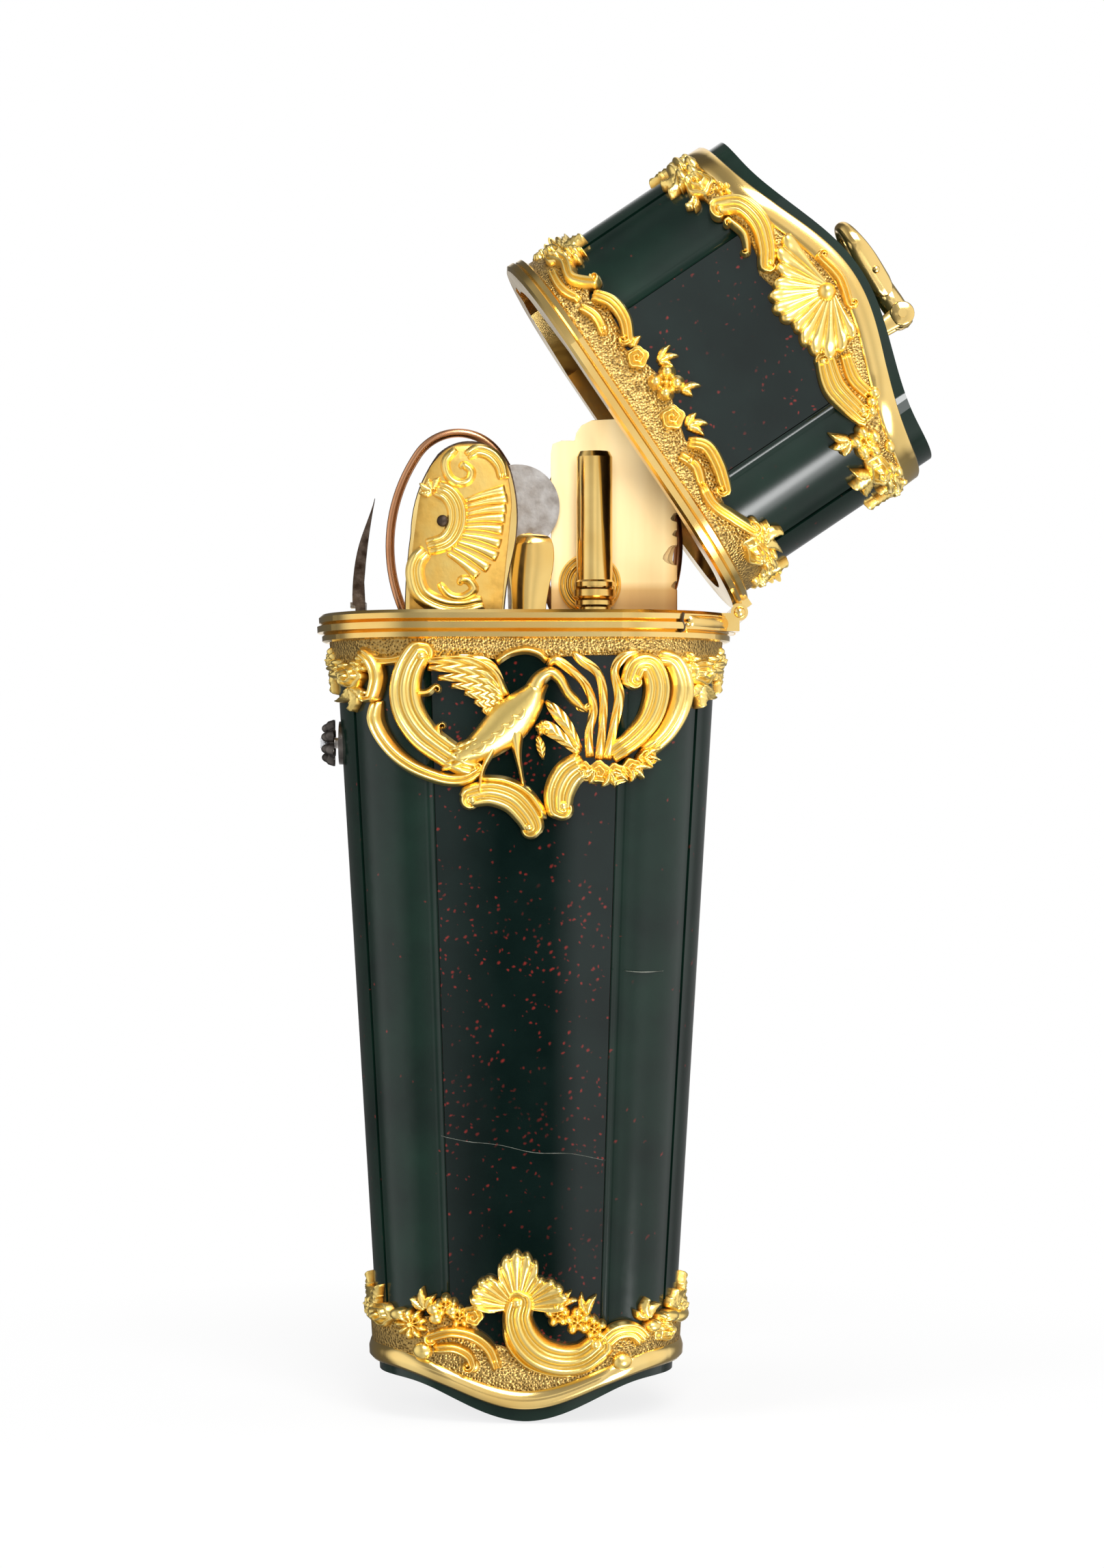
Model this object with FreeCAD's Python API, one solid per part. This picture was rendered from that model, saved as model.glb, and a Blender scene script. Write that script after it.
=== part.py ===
# Upright stone case in pierced gold cage mounts, with a hinged lid and seven instruments.
# Frame: Z along the case, X across it with the hinge at +X, front towards -Y, origin at the foot.
import FreeCAD, Part
import math
import os

Vec = FreeCAD.Vector
os.makedirs("parts", exist_ok=True)

# Stone column, section sizes in millimetres at the rim
CENTRE_X = 8.5
STONE_Y = 10.5
INNER_Y = 9.3
FACET_IN = (9.5, 9.85)
FACET_MID = (13.1, 9.0)
FACET_OUT = (15.75, 6.1)
SIDE_EDGE = (16.0, 5.85)
SIDE_X = 17.6
SIDE_INNER_X = 16.75
WALL_CORNER = (15.05, 5.25)
SEAM = 0.06
# Corners of the wrapping outline with the directions they grow in
WRAP_CORNERS = (((13.15, 9.08), (0.55, 0.83)), ((15.85, 6.15), (0.75, 0.65)), ((16.05, 5.85), (0.92, 0.38)))
TAPER = 0.0034

# Heights of the case
PANEL_FOOT = 5.4
STONE_TOP = 70.8
RIM_TOP = 73.4
FLOOR_Z = 5.4
LINER = 0.25

# Lid, heights above its own rim plane
LID_GAP = 0.15
LID_RIM = 1.75
LID_PANEL_TOP = 20.6
LID_GOLD_CORNER = 21.2
LID_GOLD_CENTRE = 25.0
LID_STONE_CORNER = 22.9
LID_STONE_CENTRE = 26.3
LID_CAVITY = 20.35
LID_ANGLE = 56.0
LID_BASE = RIM_TOP + LID_GAP

# Foot ogee, heights of the gold edge and of the stone below it
FOOT_GOLD_CORNER = 4.9
FOOT_GOLD_CENTRE = 1.35
FOOT_STONE_CORNER = 3.9
FOOT_STONE_CENTRE = -0.12
OGEE_REACH_FOOT = 12.6
OGEE_REACH_LID = 15.5

# Gold mounts, thickness over the stone
SKIN = 0.03
GROUND = 0.5
RELIEF = 1.05
FOOT_RIVET_Y = 9.75
RIVET_BALL = 0.8

# Hinge
HINGE_X = 19.5
HINGE_Z = RIM_TOP + LID_GAP / 2
KNUCKLE_R = 0.78
PIN_R = 0.36
PIN_PLAY = 0.04
KNUCKLE_LID = 1.7
KNUCKLE_END = 5.0
KNUCKLE_PLAY = 0.12
KNUCKLE_LEAF_X = 16.6
CASE_KNUCKLE_FOOT = 0.95
LID_KNUCKLE_TOP = 1.55

# Push button and catch
BUTTON_Z = 61.6
BUTTON_R = 2.3
CATCH_Y = (0.9, 2.6)
CATCH_X = (-15.25, -14.9)
CATCH_HOOK_X = -16.35
CATCH_RISE = 1.3
CATCH_HOOK = 0.5
BUTTON_X = -17.75
ROSETTE_T = 0.55
ROSETTE_DOME = (1.7, 1.0, 0.45)
SEAT_DROP = 0.65
SEAT = (0.3, 0.85, 0.35)
TABLE = (0.85, 0.45, 0.3)
COLLAR_X = -17.3
COLLAR_R = 2.0
STEM_R = 0.5
STEM_HOLE_R = 0.65

# Suspension bow on the lid, in the closed lid's frame
BOW_HALF = 5.0
BOW_Z = 28.0
BOW_EYE = 1.8
BOW_EYE_X = -2.7
BOW_PIN_R = 0.4
BOW_THICK = 1.8
BOW_LOOP_R = 2.5
BOW_ARM_Y = 1.0
LUG_Y = 1.15
LUG = 0.7
BOW_PIN = 4.2

# Instruments: depth range of each and lift heights are along Y and Z
KNIFE_Y = (-6.6, -3.4)
KNIFE_PINS = ((-7.8, 8.3), (-6.8, -38.0))
KNIFE_PIN_R = 0.5
KNIFE_PIN = 2.6
SCALE_T = 0.8
KNIFE_LINER_T = 0.4
BLADE_T = 0.8
BLADE_TOP = 9.8
BLADE_SEAM_X = -5.65
DIVIDER_FRONT_Y = (-3.2, -2.8)
DIVIDER_BACK_Y = (2.8, 3.2)
DIVIDER_PENCIL_X = (3.4, 3.8)
DIVIDER_DROP = 1.5
SPOON_Y = (-2.6, -1.6)
SPATULA_Y = (-1.4, -0.8)
SPATULA_HEAD = (-0.8, 10.0)
SPATULA_R = 3.9
LEAF_Y = -0.35
LEAF = 0.8
LEAF_PLAY = 0.1
SCISSOR_Y = 3.4
SCISSOR_T = 0.85
SCISSOR_GAP = 0.1
SCREW_R = 0.75
PICK_Y = (-2.4, -1.6)
PENCIL_X = 6.3
PENCIL_Y = -3.0
RIVET = (5.9, 2.9)
SCREW = (0.7, -16.0)
BOW_OVAL_X = 6.45
BOW_OVAL_Z = 10.65
BOW_OVAL_R = 4.6
BOW_WIRE_R = 0.42
BOW_OFFSET = 7.1
BOW_RISE = 6.8
SHANK = (1.9, 1.6)
SHANK_FOOT = -9.8


def case_scale(z):
    return 1.0 + TAPER * (z - STONE_TOP)


def lid_scale(z):
    return 1.0


def save(name, shape):
    shape.exportStep("parts/%s.step" % name)


def edge(points):
    straight = len(points) == 2
    if not straight:
        straight = (points[1] - points[0]).cross(points[2] - points[0]).Length < 1e-4
    if straight:
        return Part.LineSegment(points[0], points[-1]).toShape()
    return Part.Arc(points[0], points[1], points[2]).toShape()


def curve_edge(points):
    curve = Part.BSplineCurve()
    curve.interpolate(points)
    return curve.toShape()


def section_wire(segments, z, scale):
    edges = []
    for segment in segments:
        points = [Vec(x * scale, y * scale, z) for x, y in segment]
        edges.append(edge(points))
    return Part.Wire(edges)


def column(segments, z0, z1, scale):
    low = section_wire(segments, z0, scale(z0))
    high = section_wire(segments, z1, scale(z1))
    return Part.makeLoft([low, high], True, True)


def flipped(segments, sx, sy):
    return [[(x * sx, y * sy) for x, y in segment] for segment in segments]


# Sections of the stone panels, drawn for the right-hand back quarter
def centre_section():
    a, b = (-CENTRE_X, STONE_Y), (CENTRE_X, STONE_Y)
    c, d = (CENTRE_X, INNER_Y), (-CENTRE_X, INNER_Y)
    return [[a, b], [b, c], [c, d], [d, a]]


def flank_section():
    start = (CENTRE_X + SEAM, STONE_Y - 0.15)
    cove = (CENTRE_X + 0.3, STONE_Y - 0.5)
    inner = (CENTRE_X + SEAM, INNER_Y)
    return [[start, cove, FACET_IN], [FACET_IN, FACET_MID, FACET_OUT], [FACET_OUT, WALL_CORNER],
            [WALL_CORNER, inner], [inner, start]]


def side_section():
    x, y = SIDE_EDGE
    inner = (WALL_CORNER[0] + SEAM, WALL_CORNER[1] - SEAM)
    return [[(x, -y), (SIDE_X, 0), (x, y)], [(x, y), inner],
            [inner, (SIDE_INNER_X, 0), (inner[0], -inner[1])], [(inner[0], -inner[1]), (x, -y)]]


def panel_set(z0, z1, scale):
    panels = {"front": column(flipped(centre_section(), 1, -1), z0, z1, scale),
              "back": column(centre_section(), z0, z1, scale),
              "right": column(side_section(), z0, z1, scale),
              "left": column(flipped(side_section(), -1, 1), z0, z1, scale)}
    for depth, sy in (("front", -1), ("back", 1)):
        for hand, sx in (("left", -1), ("right", 1)):
            panels["%s_%s" % (depth, hand)] = column(flipped(flank_section(), sx, sy), z0, z1, scale)
    return panels


# Closed outline that wraps the stone at a distance, for the gold and for cutting
def wrap_wire(z, scale, grow):
    s = scale(z)
    centre_x, centre_y = CENTRE_X * s + 0.1, STONE_Y * s + grow
    mid, out, side = [(x * s + nx * grow, y * s + ny * grow) for (x, y), (nx, ny) in WRAP_CORNERS]
    side_x = SIDE_X * s + grow
    edges = []
    for sy in (-1, 1):
        edges.append(edge([Vec(-centre_x, sy * centre_y, z), Vec(centre_x, sy * centre_y, z)]))
    for sx in (-1, 1):
        edges.append(edge([Vec(sx * side[0], -side[1], z), Vec(sx * side_x, 0, z), Vec(sx * side[0], side[1], z)]))
        for sy in (-1, 1):
            for segment in ([side, out], [out, mid, (centre_x, centre_y)]):
                edges.append(edge([Vec(sx * x, sy * y, z) for x, y in segment]))
    return Part.Wire(Part.__sortEdges__(edges))


def wrapped(levels, scale):
    return Part.makeLoft([wrap_wire(z, scale, grow) for z, grow in levels], True, True)


def skin(z0, z1, scale, inner, outer):
    return wrapped([(z0, outer), (z1, outer)], scale).cut(wrapped([(z0 - 1, inner), (z1 + 1, inner)], scale))


# Room inside the stone, drawn in by an inset
def room_wire(z, scale, inset):
    s = scale(z)
    x1, y1 = CENTRE_X * s - 0.1 * inset, (INNER_Y - 0.05) * s - inset
    x2, y2 = (WALL_CORNER[0] - 0.05) * s - 0.85 * inset, (WALL_CORNER[1] - 0.05) * s - 0.5 * inset
    x3 = (SIDE_INNER_X - 0.05) * s - inset
    edges = []
    for sy in (-1, 1):
        edges.append(edge([Vec(-x1, sy * y1, z), Vec(x1, sy * y1, z)]))
    for sx in (-1, 1):
        edges.append(edge([Vec(sx * x2, -y2, z), Vec(sx * x3, 0, z), Vec(sx * x2, y2, z)]))
        for sy in (-1, 1):
            edges.append(edge([Vec(sx * x1, sy * y1, z), Vec(sx * x2, sy * y2, z)]))
    return Part.Wire(Part.__sortEdges__(edges))


def room(z0, z1, scale, inset):
    return Part.makeLoft([room_wire(z0, scale, inset), room_wire(z1, scale, inset)], True, True)


# Flat shapes of the ornament in the front plane
def spline(points, closed=False):
    curve = Part.BSplineCurve()
    curve.interpolate([Vec(x, 0, z) for x, z in points], PeriodicFlag=closed)
    return curve


# Chain of arcs through points, three at a time
def arcs(points):
    return [edge(points[i:i + 3]) for i in range(0, len(points) - 2, 2)]


def spread(curve, count):
    span = curve.LastParameter - curve.FirstParameter
    return [curve.FirstParameter + span * i / count for i in range(count + 1)]


def blob(points):
    curve = spline(points, True)
    rim = [curve.value(t) for t in spread(curve, 2 * len(points))]
    rim[-1] = rim[0]
    return Part.Face(Part.Wire(arcs(rim)))


def ribbon(points, width, tip=None):
    if tip is None:
        tip = width * 0.6
    curve = spline(points)
    left = []
    right = []
    count = 2 * len(points) - 2
    for i, t in enumerate(spread(curve, count)):
        point = curve.value(t)
        along = curve.tangent(t)[0]
        half = 0.5 * (tip + (width - tip) * math.sin(math.pi * i / count))
        across = Vec(-along.z, 0, along.x) * half
        left.append(point + across)
        right.append(point - across)
    right.reverse()
    edges = arcs(left) + [edge([left[-1], right[0]])] + arcs(right) + [edge([right[-1], left[0]])]
    return Part.Face(Part.Wire(edges))


def flower(x, z, radius, petals=5, turn=0.3):
    rim = []
    for i in range(2 * petals + 1):
        angle = turn + math.pi * i / petals
        reach = radius if i % 2 else 0.72 * radius
        rim.append(Vec(x + reach * math.cos(angle), 0, z + reach * math.sin(angle)))
    rim[-1] = rim[0]
    return Part.Face(Part.Wire(arcs(rim)))


def shell_fan(x, z, wide, tall, first, last, ribs):
    rim = []
    for i in range(2 * ribs + 1):
        angle = math.radians(first + (last - first) * i / (2 * ribs))
        swell = 1.0 if i % 2 else 0.87
        rim.append(Vec(x + wide * swell * math.cos(angle), 0, z + tall * swell * math.sin(angle)))
    edges = [edge([rim[2 * i], rim[2 * i + 1], rim[2 * i + 2]]) for i in range(ribs)]
    hub = Vec(x, 0, z - 0.12 * tall * math.copysign(1, math.sin(math.radians((first + last) / 2))))
    edges.append(edge([rim[-1], hub]))
    edges.append(edge([hub, rim[0]]))
    return Part.Face(Part.Wire(edges))


def ogee(x, corner, centre, reach):
    if abs(x) >= reach:
        return corner
    return corner + (centre - corner) * 0.5 * (1 + math.cos(math.pi * x / reach))


def ogee_curve(corner, centre, reach, half, y=0.0):
    count = 12
    points = []
    for i in range(count + 1):
        x = -half + 2 * half * i / count
        points.append(Vec(x, y, ogee(x, corner, centre, reach)))
    return curve_edge(points)


# Region between an ogee edge and a level line, as a slab right through the depth
def ogee_wire(corner, centre, reach, half, level, y):
    curve = ogee_curve(corner, centre, reach, half, y)
    a = Vec(-half, y, corner)
    b = Vec(half, y, corner)
    c = Vec(half, y, level)
    d = Vec(-half, y, level)
    return Part.Wire([curve, edge([b, c]), edge([c, d]), edge([d, a])])


def ogee_slab(corner, centre, reach, half, level):
    wire = ogee_wire(corner, centre, reach, half, level, -20.0)
    return Part.Face(wire).extrude(Vec(0, 40, 0))


def domed_slab(corner, centre, reach, half, level, crown):
    wires = [ogee_wire(corner + crown * k, centre + crown * k, reach, half, level, y)
             for y, k in ((-12.0, 1.0), (0.0, 0.0), (12.0, 1.0))]
    return Part.makeLoft(wires, True, False)


def united(faces):
    prisms = [face.extrude(Vec(0, -20, 0)) for face in faces]
    return prisms[0].multiFuse(prisms[1:])


# Ornament of the front laid on the skin, and the same turned round for the back
def laid(faces, layer):
    return layer.common(united(faces)).Solids


def both_sides(pieces):
    out = list(pieces)
    for piece in pieces:
        other = piece.copy()
        other.rotate(Vec(0, 0, 0), Vec(0, 0, 1), 180)
        out.append(other)
    return out


def cage(ring, ornament, z0, z1, scale):
    thin = skin(z0, z1, scale, SKIN, GROUND)
    thick = skin(z0, z1, scale, SKIN, RELIEF)
    lower = both_sides(laid(ornament, thick))
    base = thin.common(ring)
    return base.multiFuse(lower)


def raised(points, z):
    return [(x, z + h) for x, h in points]


# Upper cage mount of the case: scrolls around a wading bird among reeds
def upper_ornament():
    scrolls = [([(-15.6, 69.6), (-13.7, 68.5), (-12.9, 66.6), (-13.4, 64.7)], 1.0),
               ([(-13.4, 65.2), (-12.9, 62.8), (-11.0, 60.7), (-8.3, 59.1), (-4.6, 58.0)], 0.9),
               ([(-10.2, 69.6), (-11.4, 67.2), (-11.3, 64.2), (-9.6, 61.5), (-6.7, 59.9), (-4.2, 59.0)], 2.0),
               ([(-10.0, 68.9), (-8.6, 68.2), (-7.8, 66.6)], 0.9),
               ([(-9.3, 61.4), (-8.2, 62.2), (-7.5, 63.4)], 0.9),
               ([(10.4, 69.6), (11.8, 68.3), (12.0, 65.6), (10.7, 63.1), (8.2, 60.9), (6.6, 59.8)], 1.9),
               ([(12.6, 69.6), (14.2, 68.0), (14.2, 65.3), (12.6, 62.6), (10.2, 60.3)], 1.3),
               ([(5.0, 59.4), (8.2, 58.6), (11.2, 60.9)], 2.0),
               ([(-4.8, 57.0), (-2.9, 57.7), (-1.0, 57.2), (0.7, 55.8), (1.2, 53.7)], 1.2),
               ([(5.6, 60.0), (3.1, 58.8), (2.0, 57.2), (1.6, 55.0)], 1.2),
               ([(-4.4, 58.8), (-4.7, 57.9), (-4.6, 56.9)], 0.9)]
    bird = [([(0.4, 65.6), (1.0, 67.2), (2.3, 67.8), (3.2, 67.0), (3.9, 65.8), (5.5, 63.7)], 0.9),
            ([(-2.3, 62.2), (-3.4, 59.9), (-4.1, 57.0)], 0.5),
            ([(-0.7, 62.6), (-0.4, 59.6), (-0.6, 57.2)], 0.5)]
    reeds = [([(6.4, 59.8), (5.5, 62.3), (5.5, 64.5), (4.2, 66.6)], 0.55),
             ([(6.6, 59.8), (6.6, 63.7), (6.3, 65.8), (5.0, 68.5), (2.6, 69.7)], 0.55),
             ([(7.0, 60.2), (7.3, 63.7), (7.6, 66.4), (6.3, 69.6)], 0.55),
             ([(7.4, 60.8), (8.0, 63.7), (8.8, 66.4), (8.8, 68.3), (8.0, 69.8)], 0.55),
             ([(5.4, 60.2), (3.4, 63.7), (1.6, 65.6)], 1.0),
             ([(5.0, 61.0), (2.5, 62.6), (0.4, 62.9)], 1.0)]
    faces = [ribbon(points, width) for points, width in scrolls + bird + reeds]
    faces.append(blob([(-9.2, 68.9), (-5.6, 69.5), (-3.1, 68.4), (-1.2, 66.0), (-2.4, 64.2), (-4.5, 65.6),
                       (-6.7, 66.6)]))
    faces.append(blob([(-6.2, 61.0), (-2.9, 63.8), (-0.4, 65.8), (1.0, 66.2), (1.3, 64.6), (-0.2, 62.8),
                       (-2.3, 61.5), (-4.8, 59.7)]))
    faces.append(flower(-15.6, 67.6, 1.9))
    faces.append(flower(15.5, 68.0, 1.9))
    faces.append(ribbon([(-15.4, 66.6), (-15.2, 65.4), (-14.6, 64.2)], 1.4, 0.3))
    faces.append(ribbon([(15.4, 66.8), (15.2, 65.6), (14.6, 64.6)], 1.4, 0.3))
    return faces


# Lower cage mount of the case: shell, C-scrolls and flowers over an ogee band
def lower_ornament():
    scrolls = [([(-0.6, 11.4), (-0.8, 9.2), (0.5, 6.5), (3.0, 5.2), (5.6, 5.6), (6.9, 7.2)], 1.6),
               ([(-8.2, 8.3), (-5.8, 8.5), (-3.6, 7.4), (-2.5, 5.9), (-2.4, 4.6)], 1.4),
               ([(6.9, 7.0), (8.2, 8.7), (9.7, 8.5), (10.4, 6.9)], 1.1),
               ([(-8.4, 9.4), (-9.2, 10.8), (-9.3, 12.2)], 1.2),
               ([(5.2, 9.6), (5.8, 10.8), (5.7, 12.0)], 1.2),
               ([(10.9, 9.4), (11.3, 10.4), (11.2, 11.4)], 1.2),
               ([(-12.6, 9.8), (-13.0, 10.8), (-13.0, 11.8)], 1.2)]
    faces = [ribbon(points, width) for points, width in scrolls]
    for x, z, radius in ((-12.4, 9.2, 1.7), (-10.5, 8.8, 1.2), (-7.6, 10.0, 1.5), (-4.9, 9.6, 1.4),
                         (3.2, 9.5, 1.3), (4.6, 9.6, 1.3), (6.2, 8.9, 1.3), (11.2, 8.9, 1.6), (13.0, 8.2, 1.3)):
        faces.append(flower(x, z, radius))
    faces.append(shell_fan(-0.6, 10.5, 5.0, 5.4, 8, 172, 7))
    return faces


# Lower cage mount of the lid: scrolls towards a spray of flowers
def lid_low_ornament():
    scrolls = [([(-15.5, 3.6), (-14.9, 5.2), (-13.2, 5.6), (-11.6, 4.6), (-11.4, 2.8)], 1.2),
               ([(-10.8, 2.8), (-10.2, 4.8), (-8.4, 5.9), (-6.4, 5.2), (-5.6, 3.2)], 1.3),
               ([(4.3, 2.8), (5.2, 4.8), (7.2, 5.5), (8.8, 4.6), (9.2, 2.8)], 1.3),
               ([(9.8, 2.8), (10.4, 4.8), (12.0, 5.4), (13.6, 4.6), (13.9, 2.8)], 1.2),
               ([(-4.0, 5.0), (-3.7, 6.3), (-3.2, 7.6)], 1.3),
               ([(0.2, 6.4), (0.7, 7.4), (1.2, 8.4)], 1.3),
               ([(2.6, 4.9), (3.6, 5.8), (4.8, 6.4)], 1.3)]
    faces = [ribbon(raised(points, LID_BASE), width) for points, width in scrolls]
    for x, h, radius in ((-16.0, 3.7, 1.7), (-4.0, 4.0, 1.6), (-0.9, 5.2, 2.0), (2.0, 4.0, 1.6), (15.6, 3.9, 1.7)):
        faces.append(flower(x, LID_BASE + h, radius))
    return faces


# Upper cage mount of the lid: hanging shell between C-scrolls, flowers at the corners
def lid_high_ornament():
    scrolls = [([(-12.2, 17.2), (-10.4, 18.6), (-8.8, 18.0), (-7.0, 18.4), (-4.4, 20.2)], 1.7),
               ([(5.6, 20.2), (7.4, 18.2), (9.2, 17.6), (10.8, 18.4), (12.0, 19.8)], 1.7),
               ([(-12.6, 19.8), (-11.8, 18.4), (-12.2, 16.9)], 1.0),
               ([(11.6, 18.6), (12.4, 17.6), (13.4, 17.2)], 1.0)]
    faces = [ribbon(raised(points, LID_BASE), width) for points, width in scrolls]
    for x, h, radius in ((-16.0, 18.0, 1.9), (-13.9, 17.6, 1.5), (13.0, 17.8, 1.5), (15.6, 18.2, 1.9)):
        faces.append(flower(x, LID_BASE + h, radius))
    faces.append(shell_fan(0.6, LID_BASE + 21.8, 5.0, 5.2, 188, 352, 7))
    return faces


def lid_cage_ring():
    top = ogee_slab(LID_BASE + LID_GOLD_CORNER, LID_BASE + LID_GOLD_CENTRE, OGEE_REACH_LID, 22.0, LID_BASE + 10)
    low = ogee_slab(LID_BASE + LID_GOLD_CORNER - 2.4, LID_BASE + LID_GOLD_CENTRE - 2.4, OGEE_REACH_LID, 22.0,
                    LID_BASE + 10)
    return top.cut(low)


def foot_cage_ring():
    return ogee_slab(FOOT_GOLD_CORNER, FOOT_GOLD_CENTRE, OGEE_REACH_FOOT, 22.0, 7.5)


def disc(x, y, z, radius, depth, axis):
    return Part.makeCylinder(radius, depth, Vec(x, y, z), axis)


def box(x0, x1, y0, y1, z0, z1):
    return Part.makeBox(x1 - x0, y1 - y0, z1 - z0, Vec(x0, y0, z0))


def case_rim():
    steps = [(0.0, 0.9), (0.15, 1.25), (0.6, 1.25), (0.78, 1.0), (0.92, 1.65), (1.5, 1.65), (1.68, 1.15),
             (1.82, 1.45), (2.3, 1.45), (RIM_TOP - STONE_TOP, 1.1)]
    body = wrapped([(STONE_TOP + h, grow) for h, grow in steps], case_scale)
    body = body.cut(room(STONE_TOP - 1, RIM_TOP + 1, case_scale, LINER))
    return body.cut(hinge_clearance())


def lid_rim():
    steps = [(0.0, 1.1), (0.25, 1.45), (0.8, 1.45), (0.95, 1.15), (1.1, 1.3), (1.55, 1.3), (LID_RIM, 0.9)]
    body = wrapped([(LID_BASE + h, grow) for h, grow in steps], lid_scale)
    body = body.cut(room(LID_BASE - 1, LID_BASE + LID_RIM + 1, lid_scale, LINER))
    keeper = box(-17.2, -15.0, CATCH_Y[0] - 0.4, CATCH_Y[1] + 0.4, LID_BASE - 0.2, LID_BASE + LID_RIM - 0.35)
    return body.cut(hinge_clearance()).cut(keeper)


def hinge_clearance():
    span = KNUCKLE_END + KNUCKLE_PLAY
    return disc(HINGE_X, -span, HINGE_Z, KNUCKLE_R + 0.15, 2 * span, Vec(0, 1, 0))


# One hinge knuckle with its leaf, seated on the rim it belongs to
def knuckle(y0, y1, z0, z1, rim):
    leaf = box(KNUCKLE_LEAF_X, HINGE_X, y0, y1, z0, z1)
    leaf = leaf.cut(room(STONE_TOP - 2, LID_BASE + 4, lid_scale, -0.6)).cut(rim)
    leaf = max(leaf.Solids, key=lambda solid: solid.BoundBox.XMax)
    barrel = disc(HINGE_X, y0, HINGE_Z, KNUCKLE_R, y1 - y0, Vec(0, 1, 0))
    bore = disc(HINGE_X, y0 - 1, HINGE_Z, PIN_R + PIN_PLAY, y1 - y0 + 2, Vec(0, 1, 0))
    return barrel.fuse(leaf).cut(bore)


def case_knuckles(rim):
    low = STONE_TOP + CASE_KNUCKLE_FOOT
    near = knuckle(-KNUCKLE_END, -KNUCKLE_LID - KNUCKLE_PLAY, low, RIM_TOP, rim)
    far = knuckle(KNUCKLE_LID + KNUCKLE_PLAY, KNUCKLE_END, low, RIM_TOP, rim)
    return Part.Compound([near, far])


def lid_knuckle(rim):
    return knuckle(-KNUCKLE_LID, KNUCKLE_LID, LID_BASE, LID_BASE + LID_KNUCKLE_TOP, rim)


def hinge_pin():
    return disc(HINGE_X, -KNUCKLE_END, HINGE_Z, PIN_R, 2 * KNUCKLE_END, Vec(0, 1, 0))


def case_liner():
    shell = room(FLOOR_Z, STONE_TOP, case_scale, 0.0)
    hollow = room(FLOOR_Z + LINER, STONE_TOP + 1, case_scale, LINER)
    return shell.cut(hollow).cut(stem_hole())


def lid_liner():
    z0 = LID_BASE + LID_RIM
    shell = room(z0, LID_BASE + LID_CAVITY + LINER, lid_scale, 0.0)
    return shell.cut(room(z0 - 1, LID_BASE + LID_CAVITY, lid_scale, LINER))


def stem_hole():
    return disc(-22, 0, BUTTON_Z, STEM_HOLE_R, 8, Vec(1, 0, 0))


# Stone of the foot: column end with a domed ogee underside and a small flat to stand on
def base_stone():
    body = wrapped([(-2.0, -0.05), (PANEL_FOOT, -0.05)], case_scale)
    dome = domed_slab(FOOT_STONE_CORNER, FOOT_STONE_CENTRE, OGEE_REACH_FOOT, 20.0, PANEL_FOOT, 0.8)
    flat = box(-30, 30, -30, 30, 0.0, PANEL_FOOT)
    return body.common(dome).common(flat)


def lid_top_stone():
    z0 = LID_BASE + LID_CAVITY + LINER
    body = wrapped([(z0 - 3, -0.05), (LID_BASE + 32, -0.05)], lid_scale)
    dome = domed_slab(LID_BASE + LID_STONE_CORNER, LID_BASE + LID_STONE_CENTRE, OGEE_REACH_LID, 20.0, z0, -0.8)
    walls = body.common(dome)
    return walls.common(box(-30, 30, -30, 30, LID_BASE + LID_PANEL_TOP, LID_BASE + 40))


def foot_rivets():
    gold = wrapped([(0.5, GROUND), (18.0, GROUND)], case_scale)
    balls = []
    for x, z in ((-9.0, 6.7), (8.5, 5.8)):
        for turn in (0, 180):
            ball = Part.makeSphere(RIVET_BALL, Vec(x, -FOOT_RIVET_Y * case_scale(z) - GROUND, z))
            ball.rotate(Vec(0, 0, 0), Vec(0, 0, 1), turn)
            balls.append(ball.cut(gold))
    return Part.Compound(balls)


# Spring catch: stem through the wall, leaf up the inside and a hook above the rim
def catch_spring():
    low, high = BUTTON_Z - 1.0, RIM_TOP + CATCH_RISE
    x0, x1 = CATCH_X
    y0, y1 = CATCH_Y
    leaf = box(x0, x1, y0, y1, low, high)
    foot = box(x0, x1, -0.9, y1, low, BUTTON_Z + 1.0)
    hook = box(CATCH_HOOK_X, x1, y0, y1, high - CATCH_HOOK, high)
    stem = disc(BUTTON_X, 0, BUTTON_Z, STEM_R, x1 - BUTTON_X, Vec(1, 0, 0))
    return leaf.fuse(foot).fuse(hook).fuse(stem)


def button_rosette():
    profile = flower(0, 0, BUTTON_R, 8)
    disc_shape = profile.extrude(Vec(0, -ROSETTE_T, 0))
    dome = Part.makeCone(*ROSETTE_DOME, Vec(0, -ROSETTE_T, 0), Vec(0, -1, 0))
    shape = disc_shape.fuse(dome)
    seat = Part.makeCone(*SEAT, Vec(0, -SEAT_DROP, 0), Vec(0, -1, 0))
    shape = shape.cut(seat)
    shape.rotate(Vec(0, 0, 0), Vec(0, 0, 1), -90)
    shape.translate(Vec(BUTTON_X, 0, BUTTON_Z))
    return shape


def button_jewel():
    low = Part.makeCone(*SEAT, Vec(0, -SEAT_DROP, 0), Vec(0, -1, 0))
    high = Part.makeCone(*TABLE, Vec(0, -SEAT_DROP - SEAT[2], 0), Vec(0, -1, 0))
    shape = low.fuse(high)
    shape.rotate(Vec(0, 0, 0), Vec(0, 0, 1), -90)
    shape.translate(Vec(BUTTON_X, 0, BUTTON_Z))
    return shape


def button_collar():
    ring = disc(COLLAR_X, 0, BUTTON_Z, COLLAR_R, 2.0, Vec(1, 0, 0)).cut(stem_hole())
    return ring.cut(wrapped([(BUTTON_Z - 4, 0.0), (BUTTON_Z + 4, 0.0)], case_scale))


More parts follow.
